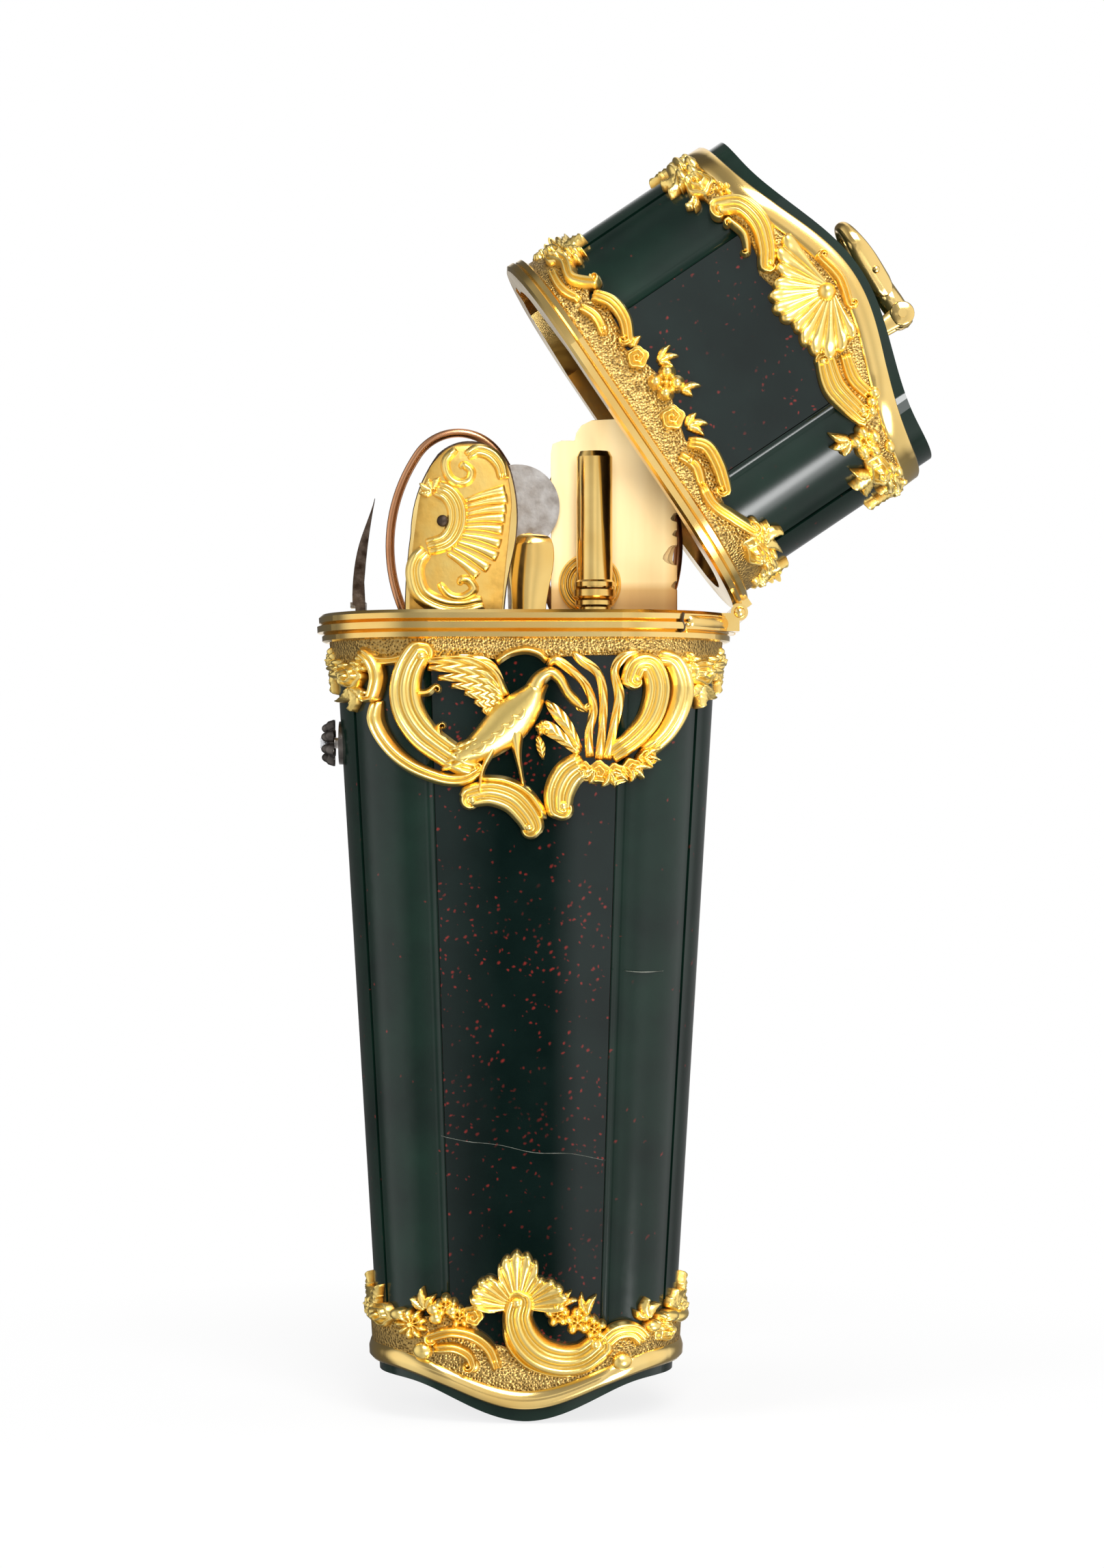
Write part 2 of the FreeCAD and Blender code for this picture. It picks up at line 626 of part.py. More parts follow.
# Suspension bow: a long loop hinged at its right end between two lugs on the lid's top
def suspension_bow():
    z = LID_BASE + BOW_Z
    low, high = z - BOW_THICK / 2, z + BOW_THICK / 2
    loop = disc(BOW_EYE_X, 0, low, BOW_LOOP_R, BOW_THICK, Vec(0, 0, 1))
    arm = box(BOW_EYE_X, BOW_HALF, -BOW_ARM_Y, BOW_ARM_Y, low, high)
    knuckle_end = disc(BOW_HALF, -BOW_ARM_Y, z, BOW_THICK / 2, 2 * BOW_ARM_Y, Vec(0, 1, 0))
    shape = loop.fuse(arm).fuse(knuckle_end)
    shape = shape.cut(disc(BOW_EYE_X, 0, z - 2, BOW_EYE, 4, Vec(0, 0, 1)))
    return shape.cut(disc(BOW_HALF, -3, z, BOW_PIN_R + PIN_PLAY, 6, Vec(0, 1, 0)))


def bow_lugs(top):
    z = LID_BASE + BOW_Z
    shapes = []
    radius = BOW_THICK / 2
    for y0 in (-LUG_Y - LUG, LUG_Y):
        cheek = box(BOW_HALF - radius, BOW_HALF + radius, y0, y0 + LUG, LID_BASE + LID_PANEL_TOP, z)
        lug = cheek.fuse(disc(BOW_HALF, y0, z, radius, LUG, Vec(0, 1, 0)))
        lug = lug.cut(disc(BOW_HALF, y0 - 1, z, BOW_PIN_R, 3, Vec(0, 1, 0))).cut(top)
        shapes.append(max(lug.Solids, key=lambda solid: solid.BoundBox.ZMax))
    return Part.Compound(shapes)


def bow_pin():
    return disc(BOW_HALF, -0.5 * BOW_PIN, LID_BASE + BOW_Z, BOW_PIN_R, BOW_PIN, Vec(0, 1, 0))


def dividers():
    space = room(FLOOR_Z + LINER, STONE_TOP, case_scale, LINER + 0.02)
    top = STONE_TOP - DIVIDER_DROP
    front = box(-20, DIVIDER_PENCIL_X[1], DIVIDER_FRONT_Y[0], DIVIDER_FRONT_Y[1], 0, top)
    pencil = box(DIVIDER_PENCIL_X[0], DIVIDER_PENCIL_X[1], -20, SPATULA_Y[1], 0, top)
    back = box(-20, 20, DIVIDER_BACK_Y[0], DIVIDER_BACK_Y[1], 0, top)
    plates = {"front": front.fuse(pencil), "back": back}
    return {name: plate.common(space) for name, plate in plates.items()}


# Flat instrument cut to a front outline between two depths
def plate(face, y0, y1):
    shape = face.extrude(Vec(0, y1 - y0, 0))
    shape.translate(Vec(0, y0, 0))
    return shape


def above_rim(points):
    return [(x, RIM_TOP + h) for x, h in points]


def pick():
    outline = above_rim([(-13.5, -44.0), (-15.7, 0.8), (-15.95, 0.9), (-15.9, 3.2), (-15.3, 6.6), (-14.3, 9.4),
                         (-13.9, 10.7), (-14.6, 6.2), (-14.9, 3.0), (-12.6, -44.0)])
    rim = [Vec(x, 0, z) for x, z in outline]
    edges = [edge(rim[0:2]), edge(rim[1:3])]
    edges.append(curve_edge(rim[2:7]))
    edges.append(curve_edge(rim[6:9]))
    edges += [edge(rim[8:10]), edge([rim[9], rim[0]])]
    return plate(Part.Face(Part.Wire(edges)), PICK_Y[0], PICK_Y[1])


# Scissors: oval bows on shanks, blades that cross at the screw
def oval_ring(cx, cy, cz):
    side = (BOW_OVAL_X ** 2 + (BOW_OVAL_Z - BOW_OVAL_R) ** 2 - BOW_OVAL_R ** 2) / (2 * (BOW_OVAL_X - BOW_OVAL_R))
    turn = math.degrees(math.atan2(BOW_OVAL_Z - BOW_OVAL_R, side - BOW_OVAL_X))
    arc_list = []
    for sign, middle in ((1, 0), (-1, 180)):
        arc_list.append((cx - sign * (side - BOW_OVAL_X), cz, side, middle - turn, 2 * turn))
        arc_list.append((cx, cz + sign * (BOW_OVAL_Z - BOW_OVAL_R), BOW_OVAL_R, middle + turn, 180 - 2 * turn))
    pieces = []
    for x, z, radius, first, span in arc_list:
        profile = Part.Face(Part.Wire([Part.Circle(Vec(x + radius, cy, z), Vec(0, 0, 1), BOW_WIRE_R).toShape()]))
        piece = profile.revolve(Vec(x, cy, z), Vec(0, -1, 0), span)
        piece.rotate(Vec(x, cy, z), Vec(0, -1, 0), first)
        pieces.append(piece)
    return pieces[0].multiFuse(pieces[1:])


# The right half lies in front of the left one
def scissor_depth(hand):
    return SCISSOR_Y if hand > 0 else SCISSOR_Y + SCISSOR_T + SCISSOR_GAP


def scissor_bow(hand):
    y = scissor_depth(hand) + 0.5 * SCISSOR_T
    loop = oval_ring(SCREW[0] + hand * BOW_OFFSET, y, RIM_TOP + BOW_RISE)
    shank = ribbon([(SCREW[0] + hand * 5.2, RIM_TOP - 3.6), (SCREW[0] + hand * 2.6, RIM_TOP - 6.4),
                    (SCREW[0] + hand * 1.4, RIM_TOP - 10.0)], *SHANK)
    stem = plate(shank, y - 0.5 * SCISSOR_T, y + 0.5 * SCISSOR_T)
    above_blade = box(-30, 30, -30, 30, RIM_TOP + SHANK_FOOT, RIM_TOP + 60)
    return loop.fuse(stem).common(above_blade)


def scissor_blade(hand):
    y0 = scissor_depth(hand)
    x, z = SCREW[0], RIM_TOP + SCREW[1]
    points = [(x + hand * 2.2, z + 6.2), (x + hand * 0.6, z + 6.2), (x - hand * 1.5, z + 1.5),
              (x - hand * 2.0, z - 6.0), (x - hand * 1.6, z - 24.0), (x - hand * 0.2, z - 44.0),
              (x + hand * 0.1, z - 8.0), (x + hand * 1.5, z - 1.5)]
    rim = [Vec(px, 0, pz) for px, pz in points]
    edges = [edge([rim[0], rim[1]]), edge([rim[1], rim[2]])]
    edges.append(curve_edge(rim[2:6]))
    edges += [edge([rim[5], rim[6]]), edge([rim[6], rim[7]]), edge([rim[7], rim[0]])]
    blade = plate(Part.Face(Part.Wire(edges)), y0, y0 + SCISSOR_T)
    return blade.cut(disc(x, 0, z, SCREW_R if hand > 0 else SCREW_R + PIN_PLAY, 10, Vec(0, 1, 0)))


def scissor_screw():
    x, z = SCREW[0], RIM_TOP + SCREW[1]
    return disc(x, SCISSOR_Y, z, SCREW_R, 2 * SCISSOR_T + SCISSOR_GAP, Vec(0, 1, 0))


# Penknife: gold scales on steel liners, blade and back spring folded between
def knife_outline(margin):
    points = [(-2.0, -2.0), (-1.4, 4.0), (-0.75, 10.2), (-2.4, 14.6), (-5.2, 15.6), (-8.2, 14.2), (-9.9, 10.6),
              (-10.3, 8.4), (-10.9, 3.0), (-11.0, -2.0), (-10.0, -24.0), (-9.1, -34.0), (-8.2, -40.0),
              (-6.2, -42.4), (-4.0, -40.0), (-2.6, -24.0)]
    cx, cz = -6.2, -13.0
    out = []
    for x, h in points:
        reach = math.hypot(x - cx, h - cz)
        out.append((x - margin * (x - cx) / reach, RIM_TOP + h - margin * (h - cz) / reach))
    return blob(out)


def knife_holes(shape, radius):
    for x, h in KNIFE_PINS:
        shape = shape.cut(disc(x, -10, RIM_TOP + h, radius, 10, Vec(0, 1, 0)))
    return shape


def knife_layers():
    y0 = KNIFE_Y[0]
    layers = {}
    y1 = KNIFE_Y[1]
    layers["knife_front_scale"] = plate(knife_outline(0.35), y0, y0 + SCALE_T)
    layers["knife_back_scale"] = plate(knife_outline(0.35), y1 - SCALE_T, y1)
    core_y = y0 + SCALE_T + KNIFE_LINER_T
    liners = [plate(knife_outline(0.0), y, y + KNIFE_LINER_T) for y in (y0 + SCALE_T, core_y + BLADE_T)]
    layers["knife_liners"] = Part.Compound(liners)
    core = plate(knife_outline(0.4), core_y, core_y + BLADE_T)
    spring = box(BLADE_SEAM_X + 0.05, 5, -20, 5, RIM_TOP - 60, RIM_TOP + 30)
    layers["knife_back_spring"] = core.common(spring)
    blade = box(-20, BLADE_SEAM_X - 0.05, -20, 5, RIM_TOP - 60, RIM_TOP + BLADE_TOP)
    layers["knife_blade"] = core.common(blade)
    return {name: knife_holes(shape, KNIFE_PIN_R) for name, shape in layers.items()}


def knife_pins():
    pins = [disc(x, KNIFE_Y[0] + 0.3, RIM_TOP + h, KNIFE_PIN_R, KNIFE_PIN, Vec(0, 1, 0)) for x, h in KNIFE_PINS]
    return Part.Compound(pins)


def spatula():
    centre = Vec(SPATULA_HEAD[0], 0, RIM_TOP + SPATULA_HEAD[1])
    head = Part.Face(Part.Wire([Part.Circle(centre, Vec(0, 1, 0), SPATULA_R).toShape()]))
    shank = ribbon(above_rim([(-0.6, 9.0), (-0.2, 4.0), (0.0, -10.0), (0.0, -52.0)]), 3.4, 3.0)
    return plate(head, SPATULA_Y[0], SPATULA_Y[1]).fuse(plate(shank, SPATULA_Y[0], SPATULA_Y[1]))


def spoon():
    thumb = blob(above_rim([(0.3, 7.5), (1.8, 6.4), (2.2, 4.2), (1.7, 1.0), (1.0, -3.0), (-0.6, -3.0), (-1.3, 1.0),
                            (-1.6, 4.2), (-1.2, 6.4)]))
    stem = ribbon(above_rim([(0.2, -1.0), (0.2, -20.0), (0.2, -40.0)]), 1.5, 1.5)
    bowl = blob(above_rim([(0.2, -38.0), (2.2, -42.0), (0.2, -48.0), (-1.8, -42.0)]))
    solids = [plate(face, SPOON_Y[0], SPOON_Y[1]) for face in (thumb, stem, bowl)]
    return solids[0].multiFuse(solids[1:])


# Pencil case, turned about its own axis: barrel with ring mouldings and a pull-off cap
def turned(profile):
    points = [Vec(PENCIL_X + r, PENCIL_Y, RIM_TOP + h) for r, h in profile]
    edges = [edge([points[i], points[(i + 1) % len(points)]]) for i in range(len(points))]
    face = Part.Face(Part.Wire(edges))
    return face.revolve(Vec(PENCIL_X, PENCIL_Y, 0), Vec(0, 0, 1), 360)


def pencil_barrel():
    return turned([(0.45, -46.0), (0.9, -46.0), (1.45, -42.0), (1.45, 0.6), (1.8, 0.8), (1.8, 1.2), (1.55, 1.4),
                   (1.95, 1.6), (1.95, 2.2), (1.5, 2.4), (1.2, 2.4), (1.2, 8.0), (0.0, 8.0), (0.0, -40.0),
                   (0.45, -40.0)])


def pencil_cap():
    return turned([(1.25, 2.5), (1.85, 2.5), (1.85, 2.9), (1.65, 3.1), (1.65, 14.4), (1.4, 14.9), (0.0, 14.9),
                   (0.0, 8.3), (1.25, 8.3)])


# Writing tablets: three leaves that fan on a rivet, carried on a tongue
def leaf_face(drop):
    left, right = 2.3, 14.0
    mid = 0.5 * (left + right)
    points = above_rim([(left, -1.5), (left, 15.0 - drop), (left + 1.0, 16.2 - drop), (left + 2.4, 16.3 - drop),
                        (left + 3.4, 17.7 - drop), (mid, 18.2 - drop), (right - 3.4, 17.7 - drop),
                        (right - 2.4, 16.3 - drop), (right - 1.0, 16.2 - drop), (right, 15.0 - drop), (right, -1.5),
                        (RIVET[0], -3.2)])
    rim = [Vec(x, 0, z) for x, z in points]
    edges = [edge(rim[0:2]), edge(rim[1:3]), edge(rim[2:4]), edge(rim[3:5]), edge(rim[4:7]), edge(rim[6:8]),
             edge(rim[7:9]), edge(rim[8:10]), edge(rim[9:11]), edge([rim[10], rim[11], rim[0]])]
    return Part.Face(Part.Wire(edges))


def tablet_leaves():
    leaves = {}
    for i, (name, drop) in enumerate((("front", 0.0), ("middle", 0.3), ("back", 0.6))):
        y0 = LEAF_Y + i * (LEAF + LEAF_PLAY)
        leaf = plate(leaf_face(drop), y0, y0 + LEAF)
        leaves[name] = leaf.cut(disc(RIVET[0], -10, RIM_TOP + RIVET[1], 0.8 + PIN_PLAY, 20, Vec(0, 1, 0)))
    return leaves


def tablet_rivet():
    x, z = RIVET[0], RIM_TOP + RIVET[1]
    back = LEAF_Y + 3 * LEAF + 2 * LEAF_PLAY
    shaft = disc(x, LEAF_Y - 0.1, z, 0.8, back - LEAF_Y + 0.35, Vec(0, 1, 0))
    boss = Part.makeCone(2.6, 2.9, 0.45, Vec(x, LEAF_Y - 0.55, z), Vec(0, 1, 0))
    return shaft.fuse(boss)


def tablet_tongue():
    back = LEAF_Y + 3 * LEAF + 2 * LEAF_PLAY + 0.05
    face = ribbon(above_rim([(RIVET[0], RIVET[1] + 1.6), (RIVET[0], -15.0), (RIVET[0], -40.0)]), 3.4, 3.4)
    tongue = plate(face, back, back + 0.3)
    return tongue.cut(disc(RIVET[0], -10, RIM_TOP + RIVET[1], 0.8, 20, Vec(0, 1, 0)))


def opened(shape):
    turned_shape = shape.copy()
    turned_shape.rotate(Vec(HINGE_X, 0, HINGE_Z), Vec(0, 1, 0), LID_ANGLE)
    return turned_shape


def build_case():
    for name, panel in panel_set(PANEL_FOOT, STONE_TOP, case_scale).items():
        save("case_panel_" + name, panel.cut(stem_hole()) if name == "left" else panel)
    rim = case_rim()
    save("case_rim", rim)
    save("case_hinge_knuckles", case_knuckles(rim))
    save("hinge_pin", hinge_pin())
    save("case_liner", case_liner())
    save("base_stone", base_stone())
    ring = box(-30, 30, -30, 30, 68.7, STONE_TOP)
    save("upper_cage_mount", cage(ring, upper_ornament(), 52.0, STONE_TOP, case_scale))
    save("lower_cage_mount", cage(foot_cage_ring(), lower_ornament(), 0.5, 18.0, case_scale))
    save("foot_rivets", foot_rivets())
    for name, shape in dividers().items():
        save("divider_" + name, shape)
    save("button_collar", button_collar())
    save("catch_spring", catch_spring())
    save("button_rosette", button_rosette())
    save("button_jewel", button_jewel())


def build_lid():
    for name, panel in panel_set(LID_BASE + LID_RIM, LID_BASE + LID_PANEL_TOP, lid_scale).items():
        save("lid_panel_" + name, opened(panel))
    rim = lid_rim()
    save("lid_rim", opened(rim))
    save("lid_hinge_knuckle", opened(lid_knuckle(rim)))
    save("lid_liner", opened(lid_liner()))
    top = lid_top_stone()
    save("lid_top_stone", opened(top))
    ring = box(-30, 30, -30, 30, LID_BASE + LID_RIM, LID_BASE + 3.4)
    low_cage = cage(ring, lid_low_ornament(), LID_BASE + LID_RIM, LID_BASE + 12.0, lid_scale)
    save("lid_lower_cage_mount", opened(low_cage))
    high_cage = cage(lid_cage_ring(), lid_high_ornament(), LID_BASE + 14.0, LID_BASE + 26.0, lid_scale)
    save("lid_upper_cage_mount", opened(high_cage))
    save("suspension_bow", opened(suspension_bow()))
    save("bow_lugs", opened(bow_lugs(top)))
    save("bow_pin", opened(bow_pin()))


def build_instruments():
    save("hooked_pick", pick())
    for hand, name in ((-1, "left"), (1, "right")):
        save("scissor_bow_" + name, scissor_bow(hand))
        save("scissor_blade_" + name, scissor_blade(hand))
    save("scissor_screw", scissor_screw())
    for name, shape in knife_layers().items():
        save(name, shape)
    save("knife_pins", knife_pins())
    save("spatula", spatula())
    save("ear_spoon", spoon())
    save("pencil_barrel", pencil_barrel())
    save("pencil_cap", pencil_cap())
    for name, shape in tablet_leaves().items():
        save("tablet_leaf_" + name, shape)
    save("tablet_rivet", tablet_rivet())
    save("tablet_tongue", tablet_tongue())


if __name__ == "__main__":
    build_case()
    build_lid()
    build_instruments()
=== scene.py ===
import math

import bpy
import numpy as np
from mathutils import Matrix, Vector


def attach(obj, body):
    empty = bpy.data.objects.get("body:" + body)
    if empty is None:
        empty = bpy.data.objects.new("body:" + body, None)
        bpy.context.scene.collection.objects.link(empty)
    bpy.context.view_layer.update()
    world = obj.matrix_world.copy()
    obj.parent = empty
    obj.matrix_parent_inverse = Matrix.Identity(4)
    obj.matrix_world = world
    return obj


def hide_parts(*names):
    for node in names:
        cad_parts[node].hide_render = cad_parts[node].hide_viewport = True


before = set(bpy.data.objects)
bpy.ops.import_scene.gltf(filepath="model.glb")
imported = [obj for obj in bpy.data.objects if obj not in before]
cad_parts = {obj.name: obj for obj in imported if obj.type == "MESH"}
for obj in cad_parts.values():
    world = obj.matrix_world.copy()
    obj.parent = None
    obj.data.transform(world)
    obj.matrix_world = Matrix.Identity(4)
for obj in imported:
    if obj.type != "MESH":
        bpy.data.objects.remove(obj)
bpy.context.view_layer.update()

# Sizes in millimetres, in the frame of the CAD part
MM = 0.001
CENTRE_X = 8.6
STONE_Y = 10.5
FLANK_MID = (13.15, 9.08)
FLANK_OUT = (15.85, 6.15)
SIDE_EDGE = (16.05, 5.85)
SIDE_X = 17.6
TAPER = 0.0034
STONE_TOP = 70.8
RIM_TOP = 73.4
LID_BASE = 73.55
LID_ANGLE = math.radians(56.0)
HINGE = (19.5, 73.475)
FOOT_EDGE = (4.9, 1.35, 12.6)
LID_EDGE = (21.2, 25.0, 15.5)
FOOT_ROLL = (0, 0.05, 0.4, 1.1, 1.7, 1.9)
LID_STRIP = (2.1, 2.0, 1.7, 0.25, 0.1, 0)
SUNK = -0.15
KNIFE_FACE = -6.6
SPOON_FACE = -2.6
LEAF_FACE = -0.35
LEAF = 0.8
LEAF_PLAY = 0.1
LEAF_DROP = 0.3
LEAF_BEVEL = 0.08
BUTTON = (-17.75, 61.6)
BOW_Z = LID_BASE + 28.0
BOW_EYE_X = -2.7
BOW_KNUCKLE_X = 5.0
BOW_TIP = math.radians(10)
BOW_TANGENT = math.radians(73)
BOSS = (5.9, 76.3)
BOSS_FACE = -0.9
BOSS_RADIUS = 2.78
FACE_SUNK = -0.1
LUG_NEAR = 1.15
LUG_FAR = 1.85
SENSOR = 36.0

# Camera, lamps, floor, the zone where the ivory grows darker towards the bottom and its painted shade along
# the nibbled edge, in metres
CAMERA_AWAY = 0.3
CAMERA_X = 0.0024
CAMERA_Z = 0.0578
SEEN_PLANE = 0.008
SEEN_HEIGHT = 0.1416
AIM = (0.0, 0.0, 0.06)
LID_FLANK = (0.028, -0.009, 0.09)
FLOOR_NEAR = 0.02
FLOOR_REACH = 0.085
DARKER_BELOW_HEIGHTS = (0.0727, 0.0807)
EDGE_SHADE_BREADTHS = (0.0124, 0.0142)

SIDE_STEPS = 20
BAND_LEVEL = 0.5
BAR_LEVEL = 0.8
WHITE = (1, 1, 1, 1)
HALF_TURN = np.array([-1, -1, 1])
ROUND_WAY = np.linspace(0, 2 * math.pi, 25)[None, :]


def circle_through(a, b, c):
    ax, ay = a
    bx, by = b
    cx, cy = c
    d = 2 * (ax * (by - cy) + bx * (cy - ay) + cx * (ay - by))
    aa, bb, cc = ax * ax + ay * ay, bx * bx + by * by, cx * cx + cy * cy
    x = (aa * (by - cy) + bb * (cy - ay) + cc * (ay - by)) / d
    y = (aa * (cx - bx) + bb * (ax - cx) + cc * (bx - ax)) / d
    return x, y


# Points and outward normals along an arc of the section, as rows x, y, nx, ny
def arc_rows(a, b, c, first, last, count):
    x, y = circle_through(a, b, c)
    radius = math.hypot(a[0] - x, a[1] - y)
    start = math.atan2(first[1] - y, first[0] - x)
    stop = math.atan2(last[1] - y, last[0] - x)
    angle = np.linspace(start, stop, count)
    normal_x, normal_y = np.cos(angle), np.sin(angle)
    return np.stack((x + radius * normal_x, y + radius * normal_y, normal_x, normal_y), 1)


# Quarter of the wrapped stone's section, from the middle of the front round to the side
def quarter_section():
    flat = np.array([[x, STONE_Y, 0.0, 1.0] for x in np.linspace(0, CENTRE_X, 24)])
    flank = arc_rows((CENTRE_X, STONE_Y), FLANK_MID, FLANK_OUT, (CENTRE_X, STONE_Y), FLANK_OUT, 30)
    back_edge = (SIDE_EDGE[0], -SIDE_EDGE[1])
    side = arc_rows(SIDE_EDGE, (SIDE_X, 0), back_edge, SIDE_EDGE, (SIDE_X, 0), SIDE_STEPS)
    return np.concatenate((flat, flank[1:], side))


QUARTER = quarter_section()


def whole_section():
    front = QUARTER * np.array([1, -1, 1, -1])
    back = QUARTER[::-1][1:]
    right = np.concatenate((front, back))
    left = right[::-1][1:-1] * np.array([-1, 1, -1, 1])
    return np.concatenate((right, left))


LOOP = whole_section()


def case_scale(z):
    return 1.0 + TAPER * (z - STONE_TOP)


def lid_scale(z):
    return np.ones_like(z)


# Point over the front of the stone at breadth x and height z, lifted by h
def on_front(x, z, h, scale):
    s = scale(z)
    breadth = np.clip(np.abs(x) / s, 0, SIDE_X - 0.001)
    depth = np.interp(breadth, QUARTER[:, 0], QUARTER[:, 1])
    normal_x = np.interp(breadth, QUARTER[:, 0], QUARTER[:, 2]) * np.sign(x)
    normal_y = np.interp(breadth, QUARTER[:, 0], QUARTER[:, 3])
    return np.stack((x + normal_x * h, -depth * s - normal_y * h, z), -1)


# Point over the right side of the stone at depth v
def on_side(v, z, h, scale):
    s = scale(z)
    depth = np.clip(np.abs(v) / s, 0, SIDE_EDGE[1])
    order = QUARTER[-SIDE_STEPS:][::-1]
    breadth = np.interp(depth, order[:, 1], order[:, 0])
    normal_x = np.interp(depth, order[:, 1], order[:, 2])
    normal_y = np.interp(depth, order[:, 1], order[:, 3]) * np.sign(v)
    return np.stack((breadth * s + normal_x * h, v + normal_y * h, z), -1)


def opened(points):
    dx = points[..., 0] - HINGE[0]
    dz = points[..., 2] - HINGE[1]
    x = HINGE[0] + dx * math.cos(LID_ANGLE) + dz * math.sin(LID_ANGLE)
    z = HINGE[1] - dx * math.sin(LID_ANGLE) + dz * math.cos(LID_ANGLE)
    return np.stack((x, points[..., 1], z), -1)


# Patches of relief: breadth, height and rise as grids
def smooth(points, count):
    p = np.array(points, float)
    p = np.concatenate(([2 * p[0] - p[1]], p, [2 * p[-1] - p[-2]]))
    out = []
    for i in range(1, len(p) - 2):
        t = np.linspace(0, 1, 16, endpoint=False)[:, None]
        a, b, c, d = p[i - 1], p[i], p[i + 1], p[i + 2]
        out.append(0.5 * (2 * b + (c - a) * t + (2 * a - 5 * b + 4 * c - d) * t ** 2
                          + (3 * b - a - 3 * c + d) * t ** 3))
    out = np.concatenate(out + [p[-2:-1]])
    run = np.concatenate(([0], np.cumsum(np.linalg.norm(np.diff(out[:, :2], axis=0), axis=1))))
    where = np.linspace(0, run[-1], count)
    return np.stack([np.interp(where, run, out[:, k]) for k in range(out.shape[1])], 1)


def rounded(t, s):
    return np.sqrt(np.clip(1 - 0.92 * s * s, 0, 1)) + 0 * t


def veined(t, s):
    return (0.55 + 0.45 * (1 - np.abs(s))) * (0.92 + 0.08 * np.cos(30 * t + 7 * np.abs(s)))


# Moulded band of rolls side by side, a little lower towards its edges
def moulded(rolls):
    def shape(t, s):
        roll = np.abs(np.sin(0.5 * math.pi * rolls * (s + 1)))
        return (0.62 + 0.38 * roll) * (1.05 - 0.3 * s * s) + 0 * t
    return shape


def strip(points, widths, height, shape=rounded, count=40, cuts=16, lift=0.0):
    widths = np.atleast_1d(np.array(widths, float))
    widths = np.interp(np.linspace(0, 1, len(points)), np.linspace(0, 1, len(widths)), widths)
    rows = smooth(np.column_stack((np.array(points, float), widths)), count)
    path = rows[:, :2]
    along = np.gradient(path, axis=0)
    along /= np.linalg.norm(along, axis=1)[:, None] + 1e-9
    across = np.stack((-along[:, 1], along[:, 0]), 1)
    t = np.linspace(0, 1, count)
    half = 0.5 * np.maximum(rows[:, 2], 0.05)
    s = np.sin(np.linspace(-0.5, 0.5, cuts + 1) * math.pi)
    grid = path[:, None, :] + across[:, None, :] * (half[:, None] * s[None, :])[..., None]
    ends = np.clip(np.minimum(t, 1 - t) / 0.1, 0, 1) ** 0.5
    rise = lift + height * (0.25 + 0.75 * ends[:, None]) * shape(t[:, None], s[None, :])
    rise[[0, -1]] = SUNK
    rise[:, [0, -1]] = SUNK
    return grid[..., 0], grid[..., 1], rise


# C-scroll with a rolled end, given the side and size of the roll at each end
def scroll(points, width, height, start=0.0, stop=0.0, beads=3):
    path = [np.array(p, float) for p in points]
    head = volute(path[0], path[0] - path[1], start)
    tail = volute(path[-1], path[-1] - path[-2], stop)
    line = head[::-1] + path + tail
    swell = [width * (0.84 + 0.16 * math.sin(math.pi * i / (len(path) - 1))) for i in range(len(path))]
    taper = [width * (0.62 - 0.05 * i) for i in range(7)]
    widths = taper[:len(head)][::-1] + swell + taper[:len(tail)]
    patches = [strip(line, widths, height, moulded(beads), 24 + 6 * len(line), 32)]
    for end, size in ((line[0], start), (line[-1], stop)):
        if size:
            patches.append(berry(end[0], end[1], 0.2 * width, 1.1 * height))
    return patches


def volute(point, direction, size):
    if not size:
        return []
    direction = direction / np.linalg.norm(direction)
    normal = np.array((-direction[1], direction[0])) * math.copysign(1, size)
    centre = point + normal * abs(size)
    out = []
    for i in range(1, 8):
        turn = i * 0.72
        reach = abs(size) * (1 - 0.1 * i)
        out.append(centre + reach * (math.sin(turn) * direction - math.cos(turn) * normal))
    return out


def polar(x, z, reach, rise):
    ring = np.linspace(0, 1, rise.shape[0])[:, None]
    angle = np.linspace(0, 2 * math.pi, rise.shape[1])[None, :]
    return x + ring * reach * np.cos(angle), z + ring * reach * np.sin(angle), rise


def berry(x, z, radius, height):
    ring = np.linspace(0, 1, 9)[:, None]
    rise = (0.35 + 0.65 * np.sqrt(1 - ring ** 2)) * height + np.zeros((9, 22))
    rise[-1] = SUNK
    return polar(x, z, radius, rise)


def blossom(x, z, radius, height, petals=5, turn=0.4):
    ring = np.linspace(0, 1, 14)[:, None]
    angle = np.linspace(0, 2 * math.pi, 15 * petals + 1)[None, :]
    lobe = np.abs(np.cos(0.5 * petals * (angle - turn)))
    reach = radius * (0.62 + 0.38 * lobe ** 0.6)
    rise = height * (0.4 + 0.6 * np.sin(math.pi * ring ** 1.3)) * (0.5 + 0.5 * lobe)
    rise = np.maximum(rise, 1.1 * height * np.exp(-(ring / 0.2) ** 4) + 0 * angle)
    rise[-1] = SUNK
    return polar(x, z, reach, rise)


def rose(x, z, radius, height, turn=0.0):
    ring = np.linspace(0, 1, 20)[:, None]
    angle = np.linspace(0, 2 * math.pi, 61)[None, :]
    reach = radius * (0.92 + 0.08 * np.cos(5 * (angle - turn)))
    whorl = np.cos(angle - turn - 4.6 * math.pi * ring)
    rise = height * (1.1 - 0.55 * ring ** 1.5) * (0.8 + 0.2 * whorl)
    rise[-1] = SUNK
    return polar(x, z, reach, rise)


